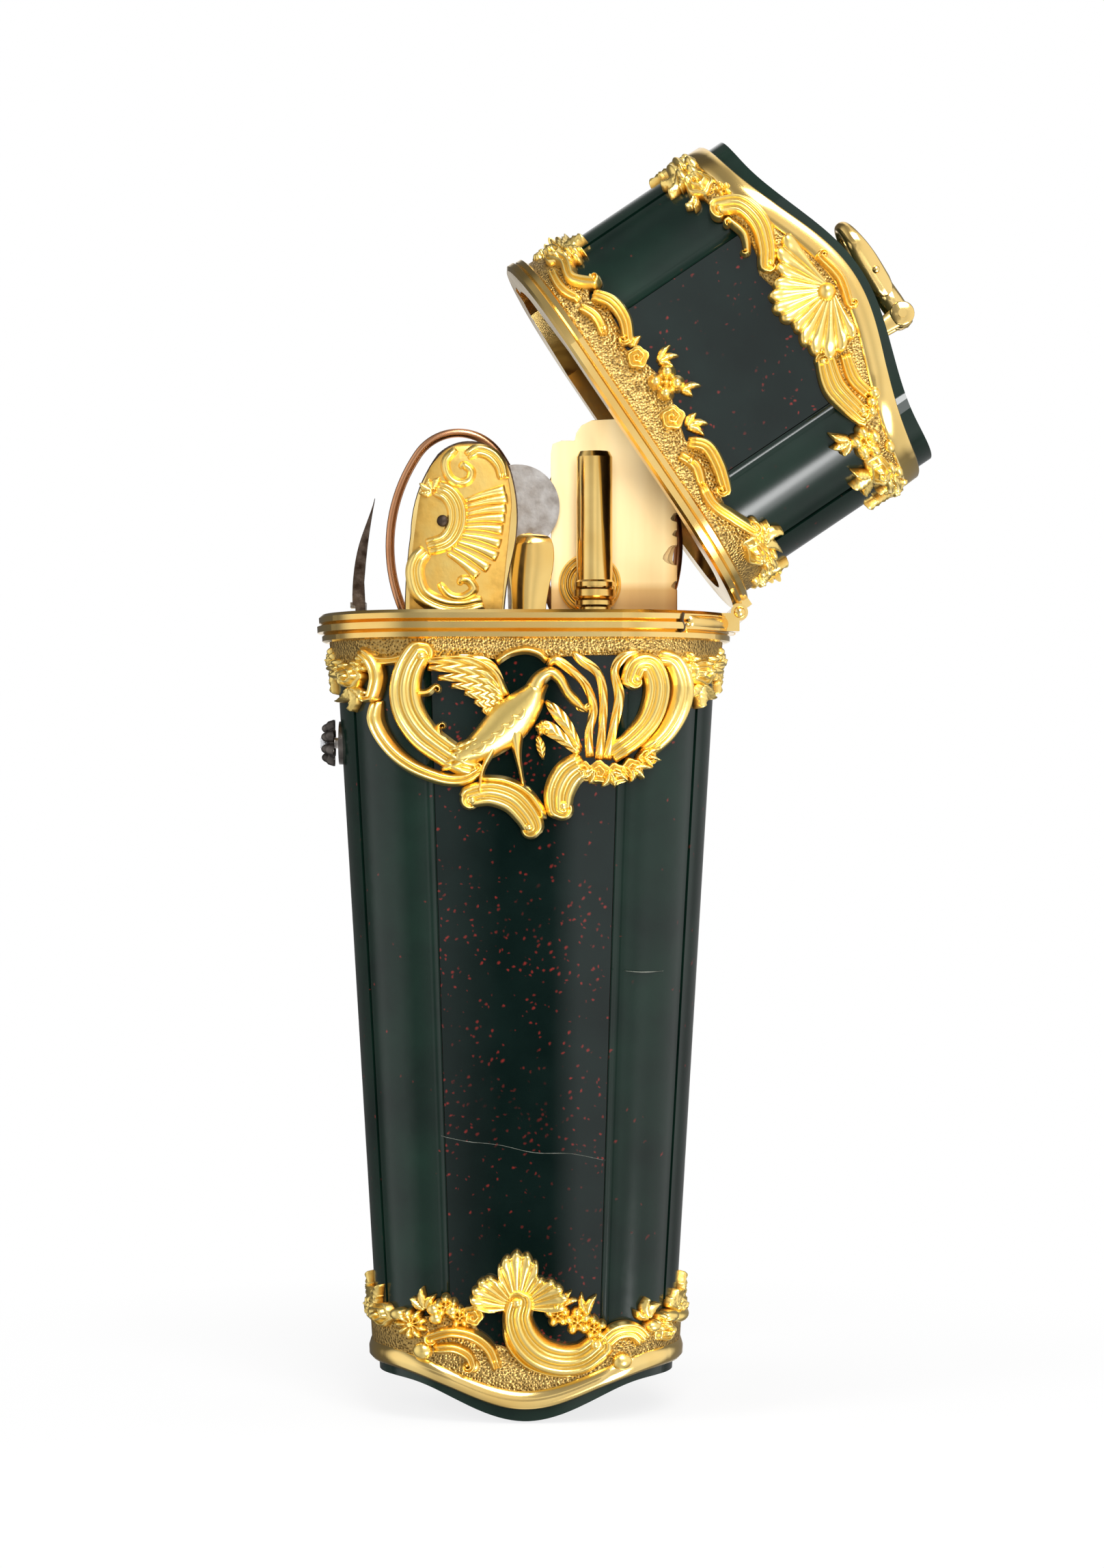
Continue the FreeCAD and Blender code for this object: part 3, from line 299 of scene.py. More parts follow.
# Fluted shell about a hub: reach given at a few angles in degrees
def fan(x, z, reaches, flutes, height, scallop=0.06):
    angles, lengths = np.array(reaches, float).T
    share = np.linspace(0, 1, 14 * flutes + 1)[None, :]
    angle = angles[0] + (angles[-1] - angles[0]) * share
    lobe = np.abs(np.sin(math.pi * flutes * share)) ** 0.7
    reach = np.interp(angle, angles, lengths) * (1 - scallop * (1 - lobe))
    ring = np.linspace(0.06, 1, 26)[:, None]
    groove = 0.3 * (1 - lobe) * np.clip(2.5 * (ring - 0.1), 0, 1)
    lip = 0.12 * np.exp(-((ring - 0.88) / 0.08) ** 2)
    rise = height * (0.45 + 0.55 * ring ** 0.7) * (1 - groove) * (1 + lip)
    rise[-1] = SUNK
    rise[:, [0, -1]] = SUNK
    angle = np.radians(angle)
    return x + ring * reach * np.cos(angle), z + ring * reach * np.sin(angle), rise


# Spray of pointed leaves from one point, by angle in degrees and length
def spray(x, z, leaves, width, height):
    out = []
    for angle, length in leaves:
        a = math.radians(angle)
        side = 0.12 * length
        middle = (x + 0.5 * length * math.cos(a) - side * math.sin(a),
                  z + 0.5 * length * math.sin(a) + side * math.cos(a))
        tip = (x + length * math.cos(a), z + length * math.sin(a))
        widths = [0.5 * width, width, 0.7 * width, 0.12 * width]
        out.append(strip([(x, z), middle, tip], widths, height, veined, 20, 8))
    return out


# Many scrolls, by path, width, height, roll at each end and number of beads
def scrolls(*rows):
    return [patch for row in rows for patch in scroll(*row)]


# Many sprays, by place, leaves, width and height
def sprays(*rows):
    return [patch for row in rows for patch in spray(*row)]


# Upper mount of the case: scrolls round a wading bird among reeds
def bird():
    feathers = [([(-1.9, 66.1), (-3.1, 68.3), (-5.3, 68.9), (-9.2, 68.8)], 1.0),
                ([(-1.9, 66.0), (-3.4, 67.6), (-5.6, 68.1), (-8.8, 68.2)], 0.95),
                ([(-1.9, 65.8), (-3.5, 67.0), (-5.3, 67.3), (-7.9, 67.3)], 0.9),
                ([(-1.9, 65.6), (-3.1, 66.4), (-4.5, 66.5), (-6.7, 66.6)], 0.85),
                ([(-1.9, 65.3), (-2.9, 65.7), (-4.0, 65.7), (-5.5, 66.0)], 0.85),
                ([(-2.1, 65.0), (-2.9, 65.1), (-3.7, 65.0), (-4.6, 65.2)], 0.8),
                ([(-2.2, 64.5), (-2.7, 64.4), (-3.2, 64.3), (-3.9, 64.5)], 0.8)]
    out = []
    for i, (points, width) in enumerate(feathers):
        out.append(strip(points, [0.7 * width, width, width, 0.5 * width], 1.15 - 0.07 * i, veined))
    out.append(strip([(-1.7, 65.6), (-2.8, 67.9), (-5.2, 69.1), (-8.8, 69.0)], [0.8, 0.6, 0.4, 0.2], 1.35))
    body = [(-7.0, 59.9), (-5.4, 60.4), (-3.4, 61.6), (-1.5, 63.3), (0.1, 65.0), (1.0, 66.3), (1.6, 67.1)]
    out.append(strip(body, [1.0, 2.0, 3.2, 3.9, 3.1, 1.9, 1.3], 1.7, rounded, 80, 26))
    for i in range(5):
        plume = [(-4.9 + 0.9 * i, 60.6 + 0.8 * i), (-4.0 + 0.9 * i, 60.8 + 0.75 * i),
                 (-3.4 + 0.85 * i, 61.6 + 0.75 * i)]
        out.append(strip(plume, [0.3, 0.6, 0.3], 0.22, rounded, 16, 8, 1.6))
    for i in range(4):
        quill = [(-7.6 + 0.2 * i, 59.1 + 0.55 * i), (-5.8, 59.7 + 0.5 * i), (-4.0, 60.8 + 0.4 * i)]
        out.append(strip(quill, [0.4, 0.8, 0.5], 1.75, veined, 24, 8))
    neck = [(0.6, 65.8), (1.3, 67.2), (2.3, 67.75), (3.1, 67.2), (3.8, 66.0), (4.6, 65.1), (5.6, 64.2)]
    out.append(strip(neck, [2.0, 1.5, 1.15, 1.0, 0.95, 0.9, 0.2], 1.7, rounded, 60, 16))
    out.append(strip([(-2.2, 63.0), (-3.0, 60.8), (-3.8, 59.0), (-4.1, 56.6)], [2.0, 0.9, 0.5, 0.45], 1.5))
    out.append(strip([(-0.9, 63.0), (-0.7, 60.6), (-0.4, 58.9), (-0.1, 57.4)], [1.8, 0.8, 0.45, 0.4], 1.5))
    out += spray(-4.1, 56.8, [(200, 0.9), (270, 0.8), (320, 0.9)], 0.3, 1.2)
    out += spray(-0.1, 57.6, [(215, 0.8), (325, 0.9)], 0.3, 1.2)
    return out


def reeds():
    stems = [([(1.8, 65.3), (2.8, 64.2), (3.9, 62.8), (4.9, 60.8)], [0.3, 1.1, 1.0, 0.6]),
             ([(0.9, 62.8), (2.0, 62.8), (3.4, 61.8), (4.9, 60.5)], [0.5, 1.3, 1.0, 0.7]),
             ([(1.1, 62.2), (1.4, 61.1), (1.6, 60.0)], [0.3, 0.8, 0.2]),
             ([(5.8, 60.1), (5.7, 62.3), (6.1, 64.5), (5.5, 66.5), (4.2, 67.9), (2.7, 68.9), (2.0, 68.3)],
              [0.8, 0.75, 0.8, 0.75, 0.8, 0.9, 0.4]),
             ([(6.6, 59.9), (6.9, 62.8), (7.0, 65.6), (6.5, 67.7), (5.0, 68.9), (4.1, 69.8)],
              [0.8, 0.75, 0.8, 0.8, 0.9, 0.4]),
             ([(7.3, 59.9), (7.9, 62.8), (8.4, 65.6), (8.0, 67.9), (8.8, 69.2), (10.3, 69.7)],
              [0.8, 0.8, 0.9, 0.8, 0.9, 0.5]),
             ([(6.0, 64.9), (5.0, 64.6), (4.2, 65.4)], [0.5, 0.7, 0.2])]
    out = [strip(points, widths, 1.25, veined) for points, widths in stems]
    out.append(blossom(1.6, 62.8, 0.75, 1.3))
    return out


def upper_scrolls():
    return scrolls(
        ([(-14.6, 70.0), (-13.5, 69.0), (-13.0, 67.5), (-13.3, 65.8)], 1.15, 1.3, 0, -0.5, 2),
        ([(-14.0, 69.6), (-12.8, 68.9), (-11.1, 69.0), (-9.8, 69.9)], 0.8, 1.0, 0, 0, 2),
        ([(-13.3, 65.3), (-13.1, 63.1), (-11.8, 60.9), (-9.9, 59.3), (-7.5, 58.3), (-5.6, 58.2),
          (-4.2, 58.9)], 1.25, 1.2, 0, 0.4, 2),
        ([(-9.5, 69.6), (-10.3, 68.0), (-10.6, 66.1), (-10.2, 64.1), (-9.0, 62.2), (-7.3, 60.8),
          (-5.6, 59.8), (-4.0, 59.4)], 2.7, 1.5, -0.5, 0, 3),
        ([(-9.6, 66.0), (-8.7, 66.0), (-8.1, 66.5)], 0.7, 1.3, 0, -0.35, 1),
        ([(-6.8, 61.7), (-7.6, 62.2), (-7.7, 62.9)], 0.6, 1.3, 0, -0.35, 1),
        ([(9.4, 67.2), (9.9, 68.4), (11.0, 68.4), (11.6, 66.4), (11.0, 63.8), (9.5, 61.8), (7.6, 60.3)],
         2.0, 1.45, 0.4, 0, 3),
        ([(11.6, 69.2), (13.0, 68.8), (13.8, 66.8), (13.5, 64.6), (12.4, 62.4), (10.7, 60.6)],
         1.7, 1.3, 0, 0, 2),
        ([(5.4, 59.7), (3.9, 58.7), (3.1, 57.2), (3.0, 55.7)], 2.9, 1.45, 0, 0.45, 3),
        ([(-4.9, 56.7), (-3.1, 57.0), (-1.2, 56.4), (0.1, 55.1), (0.7, 54.0)], 2.5, 1.4, 0.4, -0.4, 3),
        ([(-4.1, 58.3), (-1.8, 58.1), (0.2, 57.1), (1.4, 55.5), (1.6, 54.6)], 0.8, 1.55, 0, 0, 1),
        ([(-2.6, 68.7), (-1.4, 69.5), (0.0, 69.8), (1.2, 69.5), (2.0, 68.8)], 0.8, 1.1, 0, 0, 1))


def rockwork():
    out = []
    for x, z, size in ((5.2, 58.9, 1.0), (6.6, 58.8, 1.2), (8.2, 58.7, 1.1), (9.5, 59.3, 1.0),
                       (10.7, 60.2, 0.9)):
        out.append(rose(x, z, size, 1.35, x))
    out += sprays(
        (6.2, 59.2, [(185, 1.9), (215, 1.7), (250, 1.5)], 0.9, 1.5),
        (7.6, 58.9, [(240, 1.6), (285, 1.5), (330, 1.8)], 0.9, 1.5),
        (9.4, 59.2, [(265, 1.3), (315, 1.4), (0, 1.7)], 0.8, 1.5),
        (10.4, 60.2, [(300, 1.2), (345, 1.4), (30, 1.6)], 0.7, 1.5))
    return out


def corner_posy(x, z, hand, droop):
    out = [rose(x, z, 1.25, 1.5), blossom(x + 1.2 * hand, z + 0.8, 1.0, 1.2),
           blossom(x - 0.9 * hand, z + 1.1, 0.9, 1.1)]
    middle = 270 if droop < 0 else 90
    out += spray(x, z + 0.9 * droop, [(middle - 45, 1.9), (middle, 2.3), (middle + 40, 1.9)], 0.85, 1.1)
    return out


def upper_mount():
    out = upper_scrolls() + bird() + reeds() + rockwork()
    out += corner_posy(-15.4, 67.5, -1, -1)
    out += corner_posy(15.4, 67.8, 1, -1)
    return out


# Lower mount of the case: three-lobed shell, C-scrolls and flowers
def lower_mount():
    out = [fan(-0.75, 10.6, [(-8, 3.2), (-1, 4.4), (12, 4.8), (32, 4.4), (54, 3.4), (66, 4.6), (78, 5.1),
                             (90, 5.3), (102, 4.9), (113, 4.4), (122, 3.3), (136, 4.2), (150, 4.4),
                             (166, 4.5), (178, 4.2), (190, 2.4)], 15, 1.35)]
    out += scrolls(
        ([(-0.4, 11.2), (-0.7, 9.7), (-0.1, 7.9), (1.3, 6.5), (3.2, 5.9), (5.1, 6.1), (6.6, 7.2)],
         3.0, 1.7, 0.35, 0.4, 3),
        ([(-1.9, 9.6), (-1.6, 7.4), (-0.1, 5.5), (2.2, 4.6), (4.8, 4.5)], 0.5, 1.0, 0, 0, 1),
        ([(-8.3, 8.0), (-6.7, 8.5), (-4.7, 8.1), (-3.2, 6.9), (-2.5, 5.0)], 1.2, 1.5, 0.35, 0, 2),
        ([(-8.2, 6.9), (-6.5, 7.0), (-5.2, 6.4), (-4.8, 5.6)], 1.1, 1.3, 0, -0.5, 2),
        ([(6.9, 7.3), (8.0, 8.4), (9.4, 8.5), (10.4, 7.3)], 1.6, 1.4, 0, 0, 3))
    out += [rose(-12.7, 9.4, 1.2, 1.4), rose(-4.7, 9.9, 1.05, 1.5), blossom(-10.0, 9.0, 1.5, 1.2, 9)]
    out.append(berry(-4.7, 5.4, 0.7, 1.0))
    for x, z in ((-7.9, 9.7), (-8.1, 10.5), (-6.6, 10.4), (-11.1, 9.8), (11.1, 8.7), (12.6, 9.3),
                 (13.5, 9.0)):
        out.append(berry(x, z, 0.62, 1.35))
    for x, z, size in ((-7.1, 10.8, 1.15), (-5.9, 9.8, 1.1), (11.9, 8.9, 0.95), (2.9, 10.0, 1.25),
                       (4.7, 9.4, 1.4), (6.2, 8.8, 1.2)):
        out.append(blossom(x, z, size, 1.35))
    out.append(rose(12.2, 7.9, 1.0, 1.3))
    out += sprays(
        (-8.8, 10.4, [(100, 2.1), (140, 1.7), (60, 1.6)], 0.85, 1.0),
        (-13.3, 10.0, [(80, 2.2), (115, 1.8)], 0.8, 0.9),
        (5.6, 10.0, [(65, 2.0), (105, 2.1)], 0.9, 1.0),
        (10.8, 9.4, [(55, 1.7), (90, 2.0), (140, 1.4)], 0.9, 1.0),
        (13.4, 9.6, [(70, 1.8), (110, 1.5)], 0.7, 0.9),
        (3.4, 10.8, [(20, 1.5), (60, 1.6)], 0.7, 1.0))
    return out


# Lower mount of the lid, heights above its rim plane
def lid_low_mount():
    out = scrolls(
        ([(-16.6, 3.4), (-15.0, 4.3), (-13.3, 3.9), (-12.0, 5.1)], 1.2, 1.3, 0, 0.4, 2),
        ([(-15.2, 2.9), (-13.1, 2.6), (-11.3, 3.3)], 1.0, 1.1, 0, 0, 2),
        ([(-11.2, 4.4), (-9.7, 5.5), (-7.9, 5.6), (-6.3, 4.9)], 1.3, 1.4, 0, -0.4, 3),
        ([(-11.0, 2.9), (-9.4, 3.6), (-7.6, 3.3)], 1.1, 1.1, 0, 0, 2),
        ([(4.3, 4.1), (5.7, 5.3), (7.8, 5.2), (9.6, 4.6)], 1.3, 1.4, 0, -0.4, 3),
        ([(4.8, 2.8), (6.6, 3.5), (8.4, 3.0)], 1.1, 1.1, 0, 0, 2),
        ([(8.2, 3.1), (10.0, 2.9), (11.8, 3.7), (13.6, 4.7)], 1.2, 1.3, 0, 0.4, 2))
    out += [rose(-4.4, 4.6, 1.15, 1.5), rose(1.8, 4.2, 1.25, 1.5), blossom(-1.1, 5.5, 1.75, 1.5, 4, 0.9)]
    for angle in (0.9, 2.47, 4.04, 5.61):
        out.append(berry(-1.1 + 0.95 * math.cos(angle), 5.5 + 0.95 * math.sin(angle), 0.62, 1.7))
    out += [berry(-8.2, 3.6, 0.4, 1.4), berry(5.9, 3.4, 0.4, 1.4)]
    out += sprays(
        (-3.0, 5.9, [(75, 2.0), (110, 2.0), (40, 1.5)], 0.8, 1.1),
        (0.2, 6.2, [(70, 1.9), (30, 1.2)], 0.8, 1.1),
        (3.2, 4.8, [(30, 1.8), (65, 2.0), (110, 1.6)], 0.9, 1.1),
        (-5.4, 4.8, [(110, 1.3), (160, 1.2)], 0.8, 1.0))
    out += corner_posy(-16.2, 4.1, -1, 1)
    out += corner_posy(15.2, 4.0, 1, 1)
    return out


# Upper mount of the lid: hanging shell between scrolls
def lid_high_mount():
    out = [fan(0.2, 22.4, [(182, 6.6), (200, 6.2), (222, 5.0), (242, 5.7), (262, 5.6), (282, 4.9),
                           (304, 6.0), (325, 6.6), (345, 5.2), (358, 4.6)], 13, 1.5, 0.07)]
    out += scroll([(-2.6, 23.2), (-0.2, 23.6), (2.2, 23.0)], 1.0, 1.4, -0.4, 0.4, 2)
    out.append(berry(0.2, 21.9, 0.9, 1.8))
    out += scrolls(
        ([(-11.3, 18.2), (-10.4, 19.9), (-8.3, 20.4), (-6.1, 19.7), (-4.8, 18.8)], 1.9, 1.5, 0.4, 0.3, 3),
        ([(-9.8, 18.3), (-8.2, 18.7), (-6.8, 18.1)], 0.8, 1.2, 0.3, -0.3, 1),
        ([(5.2, 18.4), (7.8, 17.7), (10.7, 18.3)], 2.2, 1.4, 0.3, 0.4, 4),
        ([(5.6, 20.2), (8.0, 19.6), (10.0, 20.0)], 1.3, 1.2, 0, 0, 3))
    out += [rose(-14.1, 18.1, 1.4, 1.5), rose(15.4, 17.4, 1.25, 1.5), blossom(13.0, 17.5, 1.5, 1.4),
            blossom(-16.3, 18.2, 1.5, 1.3), blossom(-12.4, 19.5, 0.8, 1.2)]
    out += [berry(9.9, 20.4, 0.55, 1.5), berry(11.0, 19.3, 0.5, 1.5), berry(10.4, 19.8, 0.5, 1.4)]
    out += sprays(
        (-16.0, 17.4, [(300, 2.3), (265, 1.9), (330, 1.6)], 0.9, 1.1),
        (12.0, 16.4, [(225, 1.9), (265, 1.9), (300, 1.6)], 0.9, 1.1),
        (15.4, 16.6, [(235, 1.8), (270, 2.2), (305, 1.8)], 0.9, 1.1),
        (-13.4, 17.2, [(285, 1.4), (320, 1.3)], 0.7, 1.0))
    out += [blossom(16.6, 18.4, 1.2, 1.1), berry(14.3, 19.2, 0.5, 1.2)]
    return out


# Ornament of the narrow sides, by depth v and height
def side_posy(z, up):
    way = 90 if up else 270
    out = [rose(0.0, z, 1.2, 1.1), blossom(-2.3, z, 1.3, 1.0), blossom(2.3, z, 1.3, 1.0)]
    out += sprays(
        (0.0, z, [(way - 30, 2.6), (way, 3.2), (way + 30, 2.6)], 0.9, 0.9),
        (-3.2, z, [(way, 2.0), (way + 35, 1.8)], 0.8, 0.8),
        (3.2, z, [(way, 2.0), (way - 35, 1.8)], 0.8, 0.8))
    return out


# Meshes, with the level of the chasing at each point
def mesh_object(name, points, faces, level=None):
    mesh = bpy.data.meshes.new(name)
    mesh.from_pydata([tuple(p) for p in points * MM], [], faces)
    mesh.polygons.foreach_set("use_smooth", [True] * len(faces))
    if level is not None:
        layer = mesh.attributes.new("level", "FLOAT", "POINT")
        layer.data.foreach_set("value", np.broadcast_to(level, len(points)).astype(np.float32))
    mesh.validate()
    mesh.update()
    piece = bpy.data.objects.new(name, mesh)
    bpy.context.scene.collection.objects.link(piece)
    return piece


def grid_faces(rows, cols, first, closed=False):
    faces = []
    span = cols if closed else cols - 1
    for i in range(rows - 1):
        for j in range(span):
            a = first + i * cols + j
            b = first + i * cols + (j + 1) % cols
            faces.append((a, b, b + cols, a + cols))
    return faces


# One mesh from grids of points
def grid_piece(name, grids, level=BAR_LEVEL):
    faces = []
    total = 0
    for grid in grids:
        rows, cols = grid.shape[:2]
        faces += grid_faces(rows, cols, total)
        total += rows * cols
    points = np.concatenate([grid.reshape(-1, 3) for grid in grids])
    return mesh_object(name, points, faces, level)


# One mesh from patches laid by one or more placings
def relief_piece(name, sets):
    grids = []
    levels = []
    for patches, place in sets:
        for patch in patches:
            x, z, h = np.broadcast_arrays(*patch)
            grids.append(place(x, z, h))
            levels.append(h.reshape(-1))
    return grid_piece(name, grids, np.concatenate(levels))


# Height round the outline from points along the front, the back being its half turn
def loop_level(points, shrink=1.0):
    across, level = zip(*points)
    front = np.interp(LOOP[:, 0] * shrink, across, level)
    back = np.interp(-LOOP[:, 0] * shrink, across, level)
    return np.where(LOOP[:, 1] > 0, back, front)


def ogee(x, corner, centre, reach):
    wave = corner + (centre - corner) * 0.5 * (1 + np.cos(math.pi * x / reach))
    return np.where(np.abs(x) < reach, wave, corner)


# Placing over the front or the right side of the case or the lid, or over its half turn
def placing(over, lid, turned):
    def place(x, z, h):
        points = over(x, LID_BASE + z, h, lid_scale) if lid else over(x, z, h, case_scale)
        if turned:
            points = points * HALF_TURN
        return opened(points) if lid else points
    return place


# Placing on an upright face, about a middle at x and z
def on_face(face, x=0.0, z=0.0):
    def place(across, up, h):
        return np.stack((x + across, face - np.maximum(h, FACE_SUNK), z + up), -1)
    return place


def button_out(x, z, h):
    return np.stack((BUTTON[0] - np.maximum(h, 0.0), x, BUTTON[1] + z), -1)


ON_CASE = [placing(over, False, turned) for over in (on_front, on_side) for turned in (False, True)]
ON_LID = [placing(over, True, turned) for over in (on_front, on_side) for turned in (False, True)]
case_front, case_back = ON_CASE[:2]
knife_front = on_face(KNIFE_FACE)
spoon_front = on_face(SPOON_FACE)
boss_front = on_face(BOSS_FACE, *BOSS)


# Materials
def set_inputs(node, values):
    for key, value in values.items():
        node.inputs[key].default_value = value


def new_material(name, values):
    material = bpy.data.materials.new(name)
    material.use_nodes = True
    tree = material.node_tree
    shader = tree.nodes["Principled BSDF"]
    set_inputs(shader, values)
    return material, tree, shader


def add(tree, kind, **values):
    node = tree.nodes.new(kind)
    for key, value in values.items():
        setattr(node, key, value)
    return node


def coords(tree, scale=(1, 1, 1)):
    place = add(tree, "ShaderNodeTexCoord")
    mapping = add(tree, "ShaderNodeMapping")
    set_inputs(mapping, {"Scale": scale})
    tree.links.new(place.outputs["Object"], mapping.inputs["Vector"])
    return mapping.outputs["Vector"]


def axes(tree, kind):
    place = add(tree, "ShaderNodeTexCoord")
    parts = add(tree, "ShaderNodeSeparateXYZ")
    tree.links.new(place.outputs[kind], parts.inputs["Vector"])
    return parts.outputs


def noise(tree, scale, detail=4.0, stretch=(1, 1, 1)):
    node = add(tree, "ShaderNodeTexNoise")
    set_inputs(node, {"Scale": scale, "Detail": detail})
    tree.links.new(coords(tree, stretch), node.inputs["Vector"])
    return node.outputs["Fac"]


def cells(tree, scale, place):
    node = add(tree, "ShaderNodeTexVoronoi")
    set_inputs(node, {"Scale": scale})
    tree.links.new(place, node.inputs["Vector"])
    return node.outputs


def grey(value):
    return (value, value, value)


def ramp(tree, source, stops):
    node = add(tree, "ShaderNodeValToRGB")
    elements = node.color_ramp.elements
    while len(elements) < len(stops):
        elements.new(0.5)
    for element, (place, colour) in zip(elements, stops):
        element.position = place
        element.color = (*colour, 1.0)
    tree.links.new(source, node.inputs["Fac"])
    return node.outputs["Color"]


def shade(tree, source, stops):
    return ramp(tree, source, [(place, grey(value)) for place, value in stops])


# How far a value has come from low to high
def share_of(tree, source, low, high, start=0.0):
    node = add(tree, "ShaderNodeMapRange")
    set_inputs(node, {"From Min": low, "From Max": high, "To Min": start})
    tree.links.new(source, node.inputs["Value"])
    return node.outputs["Result"]


def product(tree, first, second):
    node = add(tree, "ShaderNodeMath", operation="MULTIPLY")
    tree.links.new(first, node.inputs[0])
    tree.links.new(second, node.inputs[1])
    return node.outputs[0]


# Mix of two colours, each a socket or a plain value
def mix(tree, factor, first, second, **values):
    node = add(tree, "ShaderNodeMix", data_type="RGBA", **values)
    for key, source in (("Factor", factor), ("A", first), ("B", second)):
        if isinstance(source, bpy.types.NodeSocket):
            tree.links.new(source, node.inputs[key])
        else:
            node.inputs[key].default_value = source
    return node.outputs["Result"]


def times(tree, first, second):
    return mix(tree, 1.0, first, second, blend_type="MULTIPLY")


def bump(tree, shader, source, strength, distance):
    node = add(tree, "ShaderNodeBump")
    set_inputs(node, {"Strength": strength, "Distance": distance})
    tree.links.new(source, node.inputs["Height"])
    tree.links.new(node.outputs["Normal"], shader.inputs["Normal"])


def metal(name, dark, light, roughness, grain, dents):
    material, tree, shader = new_material(name, {"Metallic": 1.0})
    spots = noise(tree, grain)
    low, high = roughness
    tree.links.new(ramp(tree, spots, [(0.3, dark), (0.7, light)]), shader.inputs["Base Color"])
    tree.links.new(shade(tree, spots, [(0.3, high), (0.7, low)]), shader.inputs["Roughness"])
    bump(tree, shader, noise(tree, grain * 1.7), dents, 0.0001)
    return material


# Chased gold: painted shade darkens it to brown in the hollows, bright on the raised parts
def chased_gold():
    material, tree, shader = new_material("chased_gold", {"Metallic": 1.0})
    level = add(tree, "ShaderNodeAttribute", attribute_name="level")
    mottle_and_hollow_shade = add(tree, "ShaderNodeMath", operation="MULTIPLY_ADD")
    tree.links.new(noise(tree, 900), mottle_and_hollow_shade.inputs[0])
    mottle_and_hollow_shade.inputs[1].default_value = 0.5
    tree.links.new(level.outputs["Fac"], mottle_and_hollow_shade.inputs[2])
    # Colour from a random mottle and the level of the chasing: painted shade, dark brown in the hollows
    colour = ramp(tree, mottle_and_hollow_shade.outputs[0], [(0.15, (0.3, 0.14, 0.025)), (0.5, (0.85, 0.52, 0.12)),
                                          (0.9, (1.0, 0.74, 0.24))])
    tree.links.new(colour, shader.inputs["Base Color"])
    tree.links.new(shade(tree, mottle_and_hollow_shade.outputs[0], [(0.2, 0.5), (0.9, 0.3)]), shader.inputs["Roughness"])
    bump(tree, shader, noise(tree, 2200), 0.25, 0.00008)
    return material


def stippled_gold():
    material, tree, shader = new_material("stippled_gold", {"Metallic": 1.0, "Roughness": 0.42})
    dots = cells(tree, 4200, coords(tree))["Distance"]
    colour = ramp(tree, dots, [(0.12, (0.1, 0.055, 0.015)), (0.6, (0.56, 0.37, 0.12))])
    tree.links.new(colour, shader.inputs["Base Color"])
    bump(tree, shader, dots, 0.8, 0.00015)
    return material


# Bloodstone: dark green chalcedony with red specks
def bloodstone(name, deep, pale, specks, roughness=0.02):
    material, tree, shader = new_material(name, {"Roughness": roughness, "IOR": 1.42})
    body = ramp(tree, noise(tree, 160, 6), [(0.3, deep), (0.75, pale)])
    shift = add(tree, "ShaderNodeVectorMath", operation="MULTIPLY_ADD")
    tree.links.new(noise(tree, 700, 3), shift.inputs[0])
    shift.inputs[1].default_value = (0.0012, 0.0012, 0.0012)
    tree.links.new(coords(tree), shift.inputs[2])
    speck = cells(tree, 1700, shift.outputs[0])
    dot = shade(tree, speck["Distance"], [(0.04, 1.0), (0.3, 0.0)])
    pick = shade(tree, speck["Color"], [(1 - specks, 0.0), (1.02 - specks, 1.0)])
    drift = shade(tree, noise(tree, 90, 2), [(0.36, 0.0), (0.5, 1.0)])
    red = product(tree, product(tree, dot, pick), drift)
    tree.links.new(mix(tree, red, body, (0.12, 0.012, 0.01, 1.0)), shader.inputs["Base Color"])
    return material


# Old ivory: grained, darker and browner towards the bottom just above the rim, and browned along the nibbled
# edge by painted shade
def ivory():
    material, tree, shader = new_material("old_ivory", {"Roughness": 0.42})
    grain = noise(tree, 260, 5, (1, 1, 0.12))
    colour = ramp(tree, grain, [(0.3, (0.74, 0.52, 0.23)), (0.55, (0.88, 0.67, 0.34)),
                                (0.8, (0.93, 0.76, 0.45))])
    parts = axes(tree, "Object")
    # Darker and browner towards the bottom, just above the rim
    darker_below = ramp(tree, share_of(tree, parts["Z"], *DARKER_BELOW_HEIGHTS),
                 [(0.2, (0.4, 0.28, 0.15)), (0.38, (0.6, 0.47, 0.3)), (0.48, (0.93, 0.9, 0.84)),
                  (0.8, grey(1.0))])
    # Painted shade: browner towards the nibbled right edge
    edge_shade = ramp(tree, share_of(tree, parts["X"], *EDGE_SHADE_BREADTHS),
               [(0.2, grey(1.0)), (0.7, (0.8, 0.68, 0.5)), (1.0, (0.35, 0.22, 0.12))])
    tree.links.new(times(tree, times(tree, colour, darker_below), edge_shade), shader.inputs["Base Color"])
    bump(tree, shader, grain, 0.08, 0.0002)
    return material


def lining():
    material, tree, shader = new_material("dark_lining", {"Roughness": 0.85})
    nap = noise(tree, 900, 6)
    colour = ramp(tree, nap, [(0.3, (0.018, 0.008, 0.004)), (0.7, (0.07, 0.03, 0.015))])
    tree.links.new(colour, shader.inputs["Base Color"])
    bump(tree, shader, nap, 0.4, 0.0002)
    return material


def jewel():
    material, tree, shader = new_material("rose_cut_jewel", {"Roughness": 0.03, "Transmission Weight": 0.6})
    tint = ramp(tree, noise(tree, 1500), [(0.3, (0.75, 0.78, 0.82)), (0.7, (0.95, 0.96, 0.98))])
    tree.links.new(tint, shader.inputs["Base Color"])
    return material


